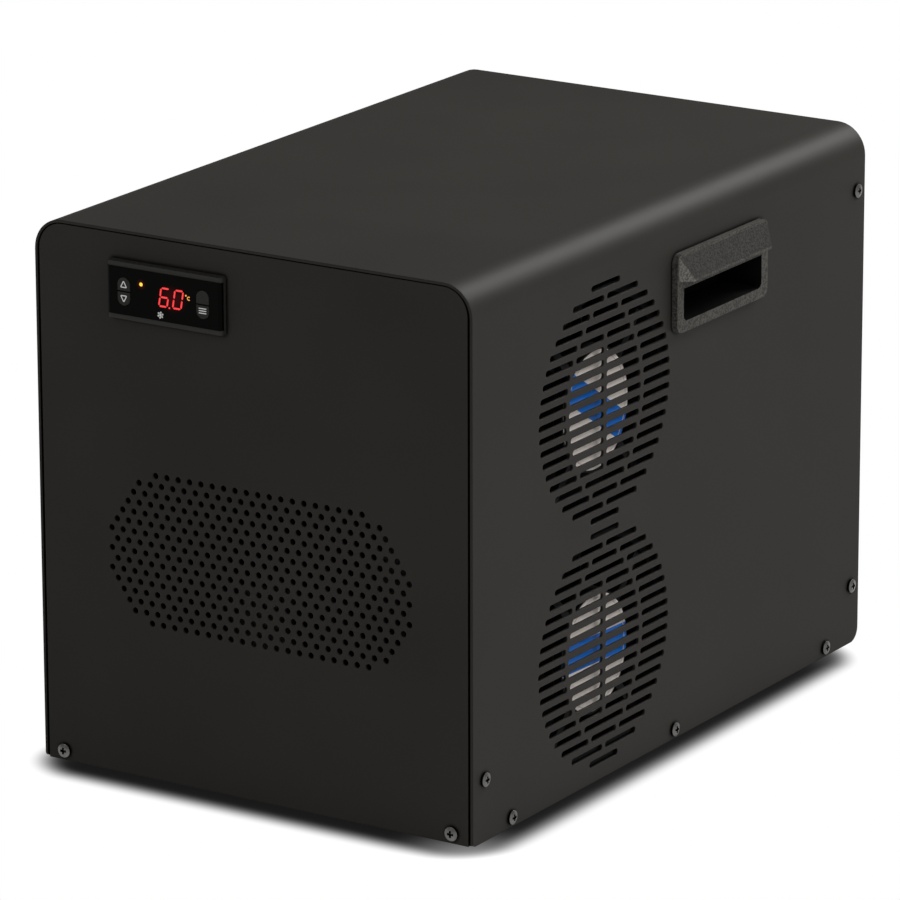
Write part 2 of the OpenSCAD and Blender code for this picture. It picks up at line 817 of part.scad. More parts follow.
// The hood over the mouth: a wedge whose two ends slope back to the frame
module hood() {
    intersection() {
        rotate([90, 0, 90]) translate([0, 0, -handle_l / 2]) linear_extrude(height = handle_l) polygon([
            [hood_low, handle_t / 2],
            [hood_low, hood_out],
            [hood_low + hood_edge, hood_out],
            [handle_h - handle_t / 2, handle_t],
            [handle_h - handle_t / 2, handle_t / 2]
        ]);
        translate([0, handle_h, 0]) rotate([90, 0, 0]) linear_extrude(height = handle_h) polygon([
            [-handle_l / 2 + handle_t / 2, 0],
            [handle_l / 2 - handle_t / 2, 0],
            [handle_l / 2 - handle_t / 2, handle_t],
            [handle_l / 2 - handle_t / 2 - hood_slope, hood_out + over],
            [-handle_l / 2 + handle_t / 2 + hood_slope, hood_out + over],
            [-handle_l / 2 + handle_t / 2, handle_t]
        ]);
    }
}

// A snap lug that holds the pocket behind the sheet
module lug() {
    translate([-lug_l / 2, 0, 0]) rotate([90, 0, 90]) linear_extrude(height = lug_l) polygon([
        [-snug, -sheet_t - snug],
        [pocket_wall / 2 + lug_out, -sheet_t - snug],
        [-snug, -sheet_t - snug - lug_w]
    ]);
}

module handle() {
    difference() {
        union() {
            translate([0, handle_h / 2, 0]) linear_extrude(height = handle_t)
                rounded_rect(handle_l, handle_h, handle_r);
            hood();
            translate([0, 0, -pocket_d]) linear_extrude(height = pocket_d + handle_t / 2)
                pocket_outline(pocket_wall);
            for (x = [-1, 1]) {
                translate([x * mouth_w / 4, pocket_top + pocket_wall, 0]) lug();
                translate([x * mouth_w / 4, mouth_sill - pocket_wall, 0]) mirror([0, 1, 0]) lug();
            }
        }
        translate([0, 0, pocket_wall - pocket_d]) linear_extrude(height = pocket_d - pocket_wall) pocket_outline(0);
        translate([0, 0, -over]) linear_extrude(height = hood_out + 2 * over) mouth_outline();
    }
}

module place_handle() {
    translate([x_out, y_front + handle_y, z_base + handle_z - handle_h / 2]) rotate([90, 0, 90]) children();
}

module handle_right() {
    color(plastic_grey) place_handle() handle();
}

module handle_left() {
    color(plastic_grey) mirror([1, 0, 0]) place_handle() handle();
}

// Controller, drawn in width and height from its middle, and out towards the front

module place_controller() {
    translate([ctl_x, y_front, z_base + ctl_z]) rotate([90, 0, 0]) children();
}

// A bar across the controller's front whose ends are rounded as seen from above
module front_bar(w, y0, y1, z1, end_r) {
    r = min(end_r, z1 / 2);
    translate([0, y1, 0]) rotate([90, 0, 0]) linear_extrude(height = y1 - y0) {
        translate([-w / 2, 0]) square([w, z1 - r]);
        translate([r - w / 2, 0]) square([w - 2 * r, z1]);
        for (s = [-1, 1]) translate([s * (w / 2 - r), z1 - r]) circle(r = r);
    }
}

window_back = window_out - window_t;
ridge_y = ctl_h / 2 - ctl_step;

module controller_case() {
    color(case_black) place_controller() {
        translate([0, 0, -case_d]) linear_extrude(height = case_d) square([case_w, case_h], center = true);
        linear_extrude(height = ctl_flange_t) rounded_rect(ctl_w, ctl_h, ctl_end_r / 2);
        difference() {
            front_bar(ctl_w - 2 * snug, -ridge_y, ridge_y, ctl_ridge_out, ctl_end_r);
            translate([-ctl_w, -window_h / 2 - snug, window_back])
                cube([2 * ctl_w, window_h + 2 * snug, window_out]);
        }
    }
}

// One pair of keys as an outline, grown by a margin
module key_pair(margin) {
    rotate([0, 0, 90]) slot(keys_h + 2 * margin, key_w + 2 * margin);
}

module controller_window() {
    color([0.03, 0.03, 0.03]) place_controller() difference() {
        intersection() {
            front_bar(ctl_w - 2 * snug, -window_h / 2, window_h / 2, window_out, ctl_end_r);
            translate([-ctl_w, -ctl_h, window_back]) cube([2 * ctl_w, 2 * ctl_h, window_out]);
        }
        for (s = [-1, 1]) translate([s * keys_x, 0, 0]) linear_extrude(height = window_out + over)
            key_pair(2 * fit / 3);
    }
}

// One key: half of a pair, above the split when up is 1 and below it when up is -1
module key(side, up) {
    color(plastic_grey) place_controller() translate([side * keys_x, 0, window_back + key_travel + snug])
        linear_extrude(height = window_t + key_proud - key_travel - snug) intersection() {
            key_pair(0);
            translate([0, up * (keys_h + key_split) / 2]) square([2 * key_w, keys_h], center = true);
        }
}

module key_up() {
    key(-1, 1);
}

module key_down() {
    key(-1, -1);
}

module key_plain() {
    key(1, 1);
}

module key_set() {
    key(1, -1);
}

clip_w = 5;
clip_h = 18;
clip_l = 12;

// Two clips that slide along the case and press on the back of the panel
module controller_clips() {
    color(plastic_grey) place_controller() for (s = [0, 1]) mirror([s, 0, 0]) {
        translate([case_w / 2, -clip_h / 2, -sheet_t - clip_l]) cube([clip_w / 2, clip_h, clip_l]);
        translate([case_w / 2, -clip_h / 2, -sheet_t - clip_w / 2]) cube([clip_w, clip_h, clip_w / 2]);
    }
}

// Fans, drawn with the shaft along Z, the inboard face on the origin's plane and the hub at the far end

module place_fan(z) {
    translate([fan_x0, fan_y, z]) rotate([0, 90, 0]) children();
}

module fan_flange() {
    linear_extrude(height = fan_flange_t) difference() {
        rounded_rect(fan_w, fan_w, fan_corner_r);
        circle(r = duct_r);
        for (x = [-1, 1], y = [-1, 1]) translate([x * fan_hole_at, y * fan_hole_at]) circle(r = hole_clear);
    }
}

module fan_frame() {
    fan_flange();
    translate([0, 0, fan_t - fan_flange_t]) fan_flange();
    linear_extrude(height = fan_t) difference() {
        circle(r = duct_r + duct_wall);
        circle(r = duct_r);
    }
    difference() {
        union() {
            translate([0, 0, hub_back]) cylinder(h = hub_t, r = hub_r);
            for (a = [45 : 90 : 315]) rotate([0, 0, a]) translate([hub_r - over, -strut_w / 2, hub_back])
                cube([duct_r - hub_r + over + duct_wall / 2, strut_w, hub_t]);
            translate([0, 0, hub_back - bearing_l]) cylinder(h = bearing_l + over, r = shaft_r + bearing_wall);
        }
        translate([0, 0, hub_back - bearing_l - over]) cylinder(h = bearing_l + over + hub_t / 2, r = shaft_r);
    }
}

module fan_label(z) {
    color([0.95, 0.93, 0.92]) place_fan(z) translate([0, 0, hub_face]) cylinder(h = label_t, r = label_r);
}

// The wound stator that sits on the bearing tube inside the rotor's cup
module fan_stators() {
    color(copper) for (z = [fan_z_low, fan_z_high]) place_fan(z)
        translate([0, 0, hub_back - bearing_l + over]) linear_extrude(height = bearing_l - over - snug) difference() {
            circle(r = cup_r - cup_wall - stator_gap);
            circle(r = shaft_r + bearing_wall + snug);
        }
}

// The rotor: a cup that opens towards the hub, and the shaft that runs in the bearing
module fan_rotor(z) {
    color(zinc) place_fan(z) {
        difference() {
            translate([0, 0, cup_end]) cylinder(h = cup_d, r = cup_r);
            translate([0, 0, cup_end + cup_wall]) cylinder(h = cup_d, r = cup_r - cup_wall);
        }
        translate([0, 0, cup_end]) cylinder(h = hub_back - cup_end, r = shaft_r - shaft_fit);
    }
}

blade_steps = 6;
span_steps = 4;

// A point on a blade: share s along its depth, share t of the way out, share u through its thickness
function blade_point(s, t, u) =
    let (
        r = ring_r - ring_wall / 2 + (tip_r - ring_r + ring_wall / 2) * t,
        a = blade_turn * (s - 0.5) + blade_lean * t,
        round = 1 - blade_taper_share * t,
        z = blade_x0 + blade_d * s + (u - 0.5) * blade_t * round * (1 - pow(2 * s - 1, 6) * blade_edge_share)
    )
    [r * cos(a), r * sin(a), z];

function blade_index(u, i, k) = u * (blade_steps + 1) * (span_steps + 1) + i * (span_steps + 1) + k;
function two_triangles(a, b, c, d) = [[a, c, b], [a, d, c]];

// One blade: two twisted faces and the four edges between them
module blade() {
    points = [
        for (u = [0, 1], i = [0 : blade_steps], k = [0 : span_steps])
            blade_point(i / blade_steps, k / span_steps, u)
    ];
    lower = [
        for (i = [0 : blade_steps - 1], k = [0 : span_steps - 1])
            each two_triangles(blade_index(0, i, k), blade_index(0, i + 1, k), blade_index(0, i + 1, k + 1),
                blade_index(0, i, k + 1))
    ];
    upper = [
        for (i = [0 : blade_steps - 1], k = [0 : span_steps - 1])
            each two_triangles(blade_index(1, i, k), blade_index(1, i, k + 1), blade_index(1, i + 1, k + 1),
                blade_index(1, i + 1, k))
    ];
    ends = [
        for (k = [0 : span_steps - 1])
            each concat(
                two_triangles(blade_index(0, 0, k), blade_index(0, 0, k + 1), blade_index(1, 0, k + 1),
                    blade_index(1, 0, k)),
                two_triangles(blade_index(0, blade_steps, k), blade_index(1, blade_steps, k),
                    blade_index(1, blade_steps, k + 1), blade_index(0, blade_steps, k + 1))
            )
    ];
    sides = [
        for (i = [0 : blade_steps - 1])
            each concat(
                two_triangles(blade_index(0, i, 0), blade_index(1, i, 0), blade_index(1, i + 1, 0),
                    blade_index(0, i + 1, 0)),
                two_triangles(blade_index(0, i, span_steps), blade_index(0, i + 1, span_steps),
                    blade_index(1, i + 1, span_steps), blade_index(1, i, span_steps))
            )
    ];
    polyhedron(points = points, faces = concat(lower, upper, ends, sides), convexity = 4);
}

// The impeller: a ring on the rotor's cup with twisted blades
module fan_impeller(z) {
    color(plastic_grey) place_fan(z) {
        translate([0, 0, cup_end]) linear_extrude(height = cup_d) difference() {
            circle(r = ring_r);
            circle(r = cup_r + snug);
        }
        for (i = [0 : blade_n - 1]) rotate([0, 0, i * 360 / blade_n]) blade();
    }
}

module upper_fan_frame() {
    color(plastic_grey) place_fan(fan_z_high) fan_frame();
}

module lower_fan_frame() {
    color(plastic_grey) place_fan(fan_z_low) fan_frame();
}

module upper_fan_label() {
    fan_label(fan_z_high);
}

module lower_fan_label() {
    fan_label(fan_z_low);
}

module upper_fan_rotor() {
    fan_rotor(fan_z_high);
}

module lower_fan_rotor() {
    fan_rotor(fan_z_low);
}

module upper_fan_impeller() {
    fan_impeller(fan_z_high);
}

module lower_fan_impeller() {
    fan_impeller(fan_z_low);
}

// Screws and nuts that hold the fans to the shroud
module fan_screws() {
    color(zinc) for (z = [fan_z_low, fan_z_high], x = [-1, 1], y = [-1, 1]) place_fan(z)
        translate([x * fan_hole_at, y * fan_hole_at, 0]) {
            translate([0, 0, -sheet_t]) rotate([180, 0, 0]) pan_screw(head_d, head_h, shank_d, shank_l + sheet_t);
            translate([0, 0, fan_flange_t]) hex_nut(head_d - over, nut_h, shank_d / 2 + snug);
        }
}

// The sheet between the fans and the condenser, with its edges folded inboard
module fan_shroud() {
    color(case_black) {
        difference() {
            translate([shroud_x0, fan_y - fan_w / 2, z_floor]) cube([sheet_t, fan_w, stack_h]);
            for (z = [fan_z_low, fan_z_high]) translate([shroud_x0 - over, fan_y, z]) rotate([0, 90, 0]) {
                cylinder(h = sheet_t + 2 * over, r = duct_r);
                for (x = [-1, 1], y = [-1, 1]) translate([x * fan_hole_at, y * fan_hole_at, 0])
                    cylinder(h = sheet_t + 2 * over, r = hole_clear);
            }
        }
        difference() {
            translate([shroud_x0 - shroud_lip, fan_y - fan_w / 2, z_floor]) cube([shroud_lip, fan_w, stack_h]);
            translate([shroud_x0 - shroud_lip - over, fan_y - fan_w / 2 + sheet_t, z_floor + sheet_t])
                cube([shroud_lip + 2 * over, fan_w - 2 * sheet_t, stack_h - 2 * sheet_t]);
        }
    }
}

// Condenser

// A fin or an end plate, in X and Z, with its row of tube holes
module fin_plate(clear) {
    difference() {
        translate([fin_x0, z_floor + sheet_t]) square([fin_d, fin_h]);
        for (z = coil_z) translate([fin_x, z]) circle(r = coil_r + clear);
    }
}

module condenser_fins() {
    step = (fin_span - 2 * sheet_t) / (fin_n + 1);
    color([0.8, 0.82, 0.84]) for (i = [1 : fin_n]) {
        translate([0, fin_y0 + sheet_t + i * step + fin_t / 2, 0]) towards_front(fin_t) fin_plate(coil_fit);
    }
}

// The end plates stand on the base with a folded foot each
module condenser_end_plates() {
    color(zinc) for (s = [0, 1]) translate([0, fan_y, 0]) mirror([0, s, 0]) {
        translate([0, fin_span / 2 + sheet_t, 0]) towards_front(sheet_t) fin_plate(coil_fit);
        translate([fin_x0, fin_span / 2 - end_lip + sheet_t, z_floor]) cube([fin_d, end_lip, sheet_t]);
    }
}

// One run of tube through the block, ten times, joined by return bends at alternate ends
module condenser_tubes() {
    color(copper) {
        for (z = coil_z) translate([fin_x, coil_y0, z]) rotate([-90, 0, 0])
            cylinder(h = coil_y1 - coil_y0, r = coil_r);
        for (i = [0 : coil_n - 2]) {
            y = i % 2 == 0 ? coil_y0 : coil_y1;
            translate([fin_x, y, (coil_z[i] + coil_z[i + 1]) / 2]) rotate([0, 90, 0])
                rotate([0, 0, i % 2 == 0 ? 180 : 0]) rotate_extrude(angle = 180)
                    translate([coil_pitch / 2, 0]) circle(r = coil_r);
        }
    }
}

// Compressor

module compressor_shell() {
    color(case_black) translate([comp_x, comp_y, comp_z0]) {
        rotate_extrude() intersection() {
            translate([0, shell_h / 2]) rounded_rect(2 * shell_r, shell_h, dome_r);
            square([shell_r + over, shell_h]);
        }
        translate([0, 0, (shell_h - seam_h) / 2]) cylinder(h = seam_h, r = shell_r + seam_out);
        for (x = [-stub_at, stub_at]) translate([x, 0, shell_h - dome_r / 2])
            cylinder(h = dome_r / 2 + stub_l, r = stub_r);
    }
}

module compressor_plate() {
    color(case_black) translate([comp_x, comp_y, z_floor + grommet_h]) linear_extrude(height = plate_t) difference() {
        rounded_rect(mount_span + 2 * plate_rim, mount_span + 2 * plate_rim, grommet_r);
        for (x = [-1, 1], y = [-1, 1]) translate([x * mount_span / 2, y * mount_span / 2])
            circle(r = grommet_r / 2 + fit);
    }
}

// Rubber mounts: a broad foot and a neck through the plate
module compressor_grommets() {
    color([0.1, 0.1, 0.1]) for (p = mounts_at) translate([p.x, p.y, z_floor]) difference() {
        union() {
            cylinder(h = grommet_h, r = grommet_r);
            cylinder(h = grommet_h + plate_t + base_t, r = grommet_r / 2);
        }
        translate([0, 0, -over]) cylinder(h = grommet_h + plate_t + base_t + 2 * over, r = stud_r + fit);
    }
}

stud_top = grommet_h + plate_t + base_t;

// Studs pressed into the base, each with a washer and a nut over its rubber mount
module compressor_studs() {
    color(zinc) for (p = mounts_at) translate([p.x, p.y, z_floor]) {
        translate([0, 0, -base_t]) cylinder(h = base_t + stud_top + 4 * stud_r, r = stud_r);
        translate([0, 0, stud_top]) difference() {
            cylinder(h = base_t, r = grommet_r * 0.8);
            cylinder(h = base_t + over, r = stud_r + snug);
        }
        translate([0, 0, stud_top + base_t]) hex_nut(10 * stud_r / 3, 5 * stud_r / 3, stud_r + snug);
    }
}

// A moulded cover over the compressor's terminals
module compressor_terminal_cover() {
    color(plastic_grey) difference() {
        translate([comp_x - terminal_w / 2, comp_y, comp_z0 + shell_h / 2 + seam_h])
            cube([terminal_w, shell_r + terminal_d, terminal_h]);
        translate([comp_x, comp_y, comp_z0]) cylinder(h = shell_h, r = shell_r + fit);
    }
}

// Heat exchanger: a water barrel with a cap at each end

module exchanger_barrel() {
    color([0.25, 0.25, 0.26]) {
        translate([barrel_x, barrel_y, barrel_z0]) cylinder(h = barrel_h, r = barrel_r);
        for (z = port_zs) translate([barrel_x, barrel_y, z]) rotate([-90, 0, 0])
            cylinder(h = barrel_r + nozzle_l, r = tail_r);
    }
}

module exchanger_caps() {
    color([0.15, 0.15, 0.16]) translate([barrel_x, barrel_y, 0]) {
        translate([0, 0, barrel_z0 - cap_h]) cylinder(h = cap_h, r = cap_r);
        translate([0, 0, barrel_top]) cylinder(h = cap_h, r = cap_r);
        for (x = [-barrel_r / 2, barrel_r / 2]) translate([x, 0, barrel_top + cap_h])
            cylinder(h = stub_l, r = stub_r);
    }
}

module exchanger_bracket() {
    color(zinc) translate([barrel_x, barrel_y, z_floor]) {
        translate([-cap_r, -cap_r, 0]) cube([2 * cap_r, 2 * cap_r, sheet_t]);
        for (s = [0, 1]) mirror([s, 0, 0]) translate([cap_r + snug, -cap_r / 2, 0]) cube([sheet_t, cap_r, 2 * cap_h]);
        for (s = [0, 1]) mirror([s, 0, 0]) translate([cap_r - over, -cap_r / 2, 0])
            cube([over + 2 * snug, cap_r, sheet_t]);
    }
}

// Water ports through the rear panel

// A port: thread and flange outside, shank and hose tail inside
module water_port(z) {
    color([0.7, 0.71, 0.72]) translate([barrel_x, y_rear, z]) rotate([-90, 0, 0]) difference() {
        union() {
            translate([0, 0, seal_t + port_flange_t]) cylinder(h = port_l, r = port_r);
            translate([0, 0, seal_t]) cylinder(h = port_flange_t, d = port_af / cos(30), $fn = 6);
            translate([0, 0, -tail_l / 2 - sheet_t]) cylinder(h = tail_l / 2 + sheet_t + seal_t + over, r = port_r);
            translate([0, 0, -tail_l - sheet_t]) cylinder(h = tail_l, r = tail_r);
        }
        translate([0, 0, -tail_l - sheet_t - over]) cylinder(h = tail_l + sheet_t + rear_proud + 2 * over, r = port_bore);
    }
}

module water_inlet_port() {
    water_port(port_zs[0]);
}

module water_outlet_port() {
    water_port(port_zs[1]);
}

module port_nuts() {
    color(zinc) for (z = port_zs) translate([barrel_x, y_rear - sheet_t, z]) rotate([90, 0, 0])
        hex_nut(port_af, port_flange_t, port_r + snug);
}

module port_seals() {
    color([0.1, 0.1, 0.1]) for (z = port_zs) translate([barrel_x, y_rear, z]) rotate([-90, 0, 0])
        linear_extrude(height = seal_t) difference() {
            circle(r = seal_r);
            circle(r = port_r + snug);
        }
}

hose_y0 = nozzle_end - nozzle_l / 2;
hose_y1 = tail_end + tail_l / 2 - port_flange_t / 3;

module water_hoses() {
    color([0.12, 0.12, 0.13]) for (z = port_zs) translate([barrel_x, hose_y0, z]) rotate([-90, 0, 0])
        linear_extrude(height = hose_y1 - hose_y0) difference() {
            circle(r = hose_out);
            circle(r = hose_in);
        }
}

module hose_clamps() {
    color(zinc) for (z = port_zs, y = [hose_y0 + over, hose_y1 - over - clamp_w])
        translate([barrel_x, y, z]) rotate([-90, 0, 0]) linear_extrude(height = clamp_w) difference() {
            circle(r = hose_out + snug + clamp_t);
            circle(r = hose_out + snug);
        }
}

// Refrigerant circuit

// The drier: a copper spindle that tapers to a neck at each end
module filter_drier() {
    neck = drier_l / 8;
    color(copper) translate([drier_x, drier_y, drier_z0]) rotate_extrude() polygon([
        [0, 0], [pipe_r, 0], [drier_r, neck], [drier_r, drier_l - neck], [pipe_r, drier_l], [0, drier_l]
    ]);
}

module discharge_pipe() {
    color(copper) pipe([
        [comp_x + stub_at, comp_y, comp_top + stub_l],
        [comp_x + stub_at, comp_y, coil_z[0]],
        [fin_x, coil_y1 + bend_r, coil_z[0]],
        [fin_x, coil_y1, coil_z[0]]
    ], pipe_r, bend_r);
}

module liquid_pipe() {
    color(copper) pipe([
        [fin_x, coil_y1, coil_z[coil_n - 1]],
        [fin_x, drier_y, coil_z[coil_n - 1]],
        [drier_x, drier_y, coil_z[coil_n - 1]],
        [drier_x, drier_y, drier_z0]
    ], pipe_r, bend_r);
}

module capillary_tube() {
    top = pipe_top + bend_r;
    color(copper) pipe([
        [drier_x, drier_y, drier_z0 + drier_l],
        [drier_x, drier_y, top],
        [barrel_x - barrel_r / 2, barrel_y, top],
        [barrel_x - barrel_r / 2, barrel_y, barrel_top + cap_h + stub_l]
    ], cap_tube_r, bend_r);
}

module suction_pipe() {
    color(copper) pipe([
        [barrel_x + barrel_r / 2, barrel_y, barrel_top + cap_h + stub_l],
        [barrel_x + barrel_r / 2, barrel_y, pipe_top],
        [comp_x - stub_at, comp_y, pipe_top],
        [comp_x - stub_at, comp_y, comp_top + stub_l]
    ], pipe_r, bend_r);
}

// The compressor's run capacitor, standing in a strap on the base
module run_capacitor() {
    color([0.85, 0.85, 0.84]) translate([cap_at.x, cap_at.y, z_floor]) {
        cylinder(h = cap_body_h, r = cap_body_r);
        for (x = [-1, 1]) translate([x * cap_body_r / 2, 0, cap_body_h]) cylinder(h = stub_l / 2, r = pin_w);
    }
}

// Mains inlet, drawn in width and height from its middle, and out towards the rear

module place_inlet() {
    translate([inlet_x, y_rear, z_base + inlet_z]) rotate([90, 0, 180]) children();
}

// The socket's outline: a rectangle with its two upper corners cut off
module socket_outline() {
    polygon([
        [-socket_w / 2, -socket_h / 2],
        [socket_w / 2, -socket_h / 2],
        [socket_w / 2, socket_h / 2 - socket_corner],
        [socket_w / 2 - socket_corner, socket_h / 2],
        [socket_corner - socket_w / 2, socket_h / 2],
        [-socket_w / 2, socket_h / 2 - socket_corner]
    ]);
}

module mains_inlet() {
    color(case_black) place_inlet() difference() {
        union() {
            linear_extrude(height = inlet_t) difference() {
                rounded_rect(inlet_w, inlet_h, inlet_r);
                for (s = [-1, 1]) translate([s * inlet_screw_x, 0]) circle(r = inlet_shank_d / 2 + snug);
            }
            translate([0, 0, -inlet_d]) linear_extrude(height = inlet_d + over)
                square([inlet_body_w, inlet_body_h], center = true);
        }
        translate([0, 0, inlet_t - socket_d]) linear_extrude(height = socket_d + over) socket_outline();
    }
}

// Three flat pins that stand in the socket
module mains_pins() {
    color([0.8, 0.75, 0.5]) place_inlet() for (p = [[-pin_x, -pin_h / 2], [0, pin_h / 2], [pin_x, -pin_h / 2]]) {
        translate([p.x - pin_w / 2, p.y - pin_h / 2, inlet_t - socket_d]) cube([pin_w, pin_h, pin_l]);
    }
}

module mains_screws() {
    color(zinc) place_inlet() for (s = [-1, 1]) translate([s * inlet_screw_x, 0, inlet_t])
        pan_screw(inlet_head_d, inlet_head_h, inlet_shank_d, 3 * inlet_t);
}

wrap_cover();
front_panel();
rear_panel();
base_pan();
feet();
foot_screws();
cover_screws();
panel_screws();
handle_right();
handle_left();
controller_case();
controller_window();
key_up();
key_down();
key_plain();
key_set();
controller_clips();
upper_fan_frame();
lower_fan_frame();
upper_fan_label();
lower_fan_label();
fan_stators();
upper_fan_rotor();
lower_fan_rotor();
upper_fan_impeller();
lower_fan_impeller();
fan_screws();
fan_shroud();
condenser_fins();
condenser_end_plates();
condenser_tubes();
compressor_shell();
compressor_plate();
compressor_grommets();
compressor_studs();
compressor_terminal_cover();
exchanger_barrel();
exchanger_caps();
exchanger_bracket();
water_inlet_port();
water_outlet_port();
port_nuts();
port_seals();
water_hoses();
hose_clamps();
filter_drier();
discharge_pipe();
liquid_pipe();
capillary_tube();
suction_pipe();
run_capacitor();
mains_inlet();
mains_pins();
mains_screws();
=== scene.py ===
"""Looks of an ice bath water chiller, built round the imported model.

Lengths are in metres, in the part's own frame: the origin is at floor level in the middle of the
footprint, +X is the side with the fans, +Y the rear with the water ports, and +Z is up.
"""

import logging
import math
from dataclasses import dataclass, field
from enum import Enum

import bpy
import numpy as np
from mathutils import Matrix, Vector


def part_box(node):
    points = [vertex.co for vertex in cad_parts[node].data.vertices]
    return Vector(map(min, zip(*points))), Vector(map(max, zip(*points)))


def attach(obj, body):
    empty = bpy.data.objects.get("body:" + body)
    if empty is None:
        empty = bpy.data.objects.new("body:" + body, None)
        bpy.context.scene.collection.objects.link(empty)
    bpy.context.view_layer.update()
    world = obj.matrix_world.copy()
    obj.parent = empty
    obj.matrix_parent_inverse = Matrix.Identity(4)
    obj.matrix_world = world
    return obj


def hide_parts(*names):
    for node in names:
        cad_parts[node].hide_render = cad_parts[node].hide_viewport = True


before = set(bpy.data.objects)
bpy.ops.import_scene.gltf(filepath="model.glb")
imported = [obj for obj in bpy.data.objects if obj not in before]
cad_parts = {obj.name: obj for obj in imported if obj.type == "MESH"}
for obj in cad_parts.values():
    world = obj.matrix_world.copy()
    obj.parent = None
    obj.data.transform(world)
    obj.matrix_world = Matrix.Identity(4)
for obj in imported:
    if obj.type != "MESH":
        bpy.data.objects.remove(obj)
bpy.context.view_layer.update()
MM = 0.001

logging.basicConfig(level=logging.INFO, format="%(message)s")
log = logging.getLogger("chiller")

Colour = Triple = tuple[float, float, float]
Range = Spot = tuple[float, float]
Material = bpy.types.Material

SHARP_ANGLE = math.radians(35)
SOFT: Range = (0.3, 0.7)
FULL_TURN = 2 * math.pi
BEVEL_SAMPLES = 6
BLACK: Colour = (0.0, 0.0, 0.0)
WHITE: Colour = (1.0, 1.0, 1.0)


# Shader maths

@dataclass(frozen=True, eq=False)
class Signal:
    """An output socket that takes part in arithmetic: each operator adds the Math node it stands for."""

    bench: "Bench"
    socket: bpy.types.NodeSocket

    def maths(self, operation: str, *others: "Signal | float") -> "Signal":
        """The result of a Math node whose inputs are this value and then the others."""
        return self.bench.node("ShaderNodeMath", {"operation": operation}, dict(enumerate((self, *others))))

    def __add__(self, other: "Signal | float") -> "Signal":
        """self + other."""
        return self.maths("ADD", other)

    def __sub__(self, other: "Signal | float") -> "Signal":
        """self - other."""
        return self.maths("SUBTRACT", other)

    def __rsub__(self, other: float) -> "Signal":
        """other - self."""
        return self * -1.0 + other

    def __mul__(self, other: "Signal | float") -> "Signal":
        """self * other."""
        return self.maths("MULTIPLY", other)

    def __truediv__(self, other: "Signal | float") -> "Signal":
        """self / other."""
        return self.maths("DIVIDE", other)

    __radd__, __rmul__ = __add__, __mul__

    def size(self) -> "Signal":
        """The value without its sign."""
        return self.maths("ABSOLUTE")

    def most(self, other: "Signal | float") -> "Signal":
        """The larger of two values."""
        return self.maths("MAXIMUM", other)

    def least(self, other: "Signal | float") -> "Signal":
        """The smaller of two values."""
        return self.maths("MINIMUM", other)

    def length(self, other: "Signal") -> "Signal":
        """The length of the flat vector with the sides self and other."""
        return (self * self + other * other).maths("SQRT")

    def spread(self, width: float) -> "Signal":
        """A share of 0 to 1, turned into plus or minus half a width."""
        return (self - 0.5) * width

    def within(self, middle: float, half: float, blur: float) -> "Signal":
        """1 where the value is within half of the middle, and 0 outside, with ends blurred both ways."""
        return (self - middle).size().step(half + blur, half - blur)

    def step(self, low: float, high: float) -> "Signal":
        """Rises smoothly from 0 at low to 1 at high; with low above high it falls."""
        inputs = {"Value": self, "From Min": low, "From Max": high}
        return self.bench.node("ShaderNodeMapRange", {"interpolation_type": "SMOOTHSTEP"}, inputs)


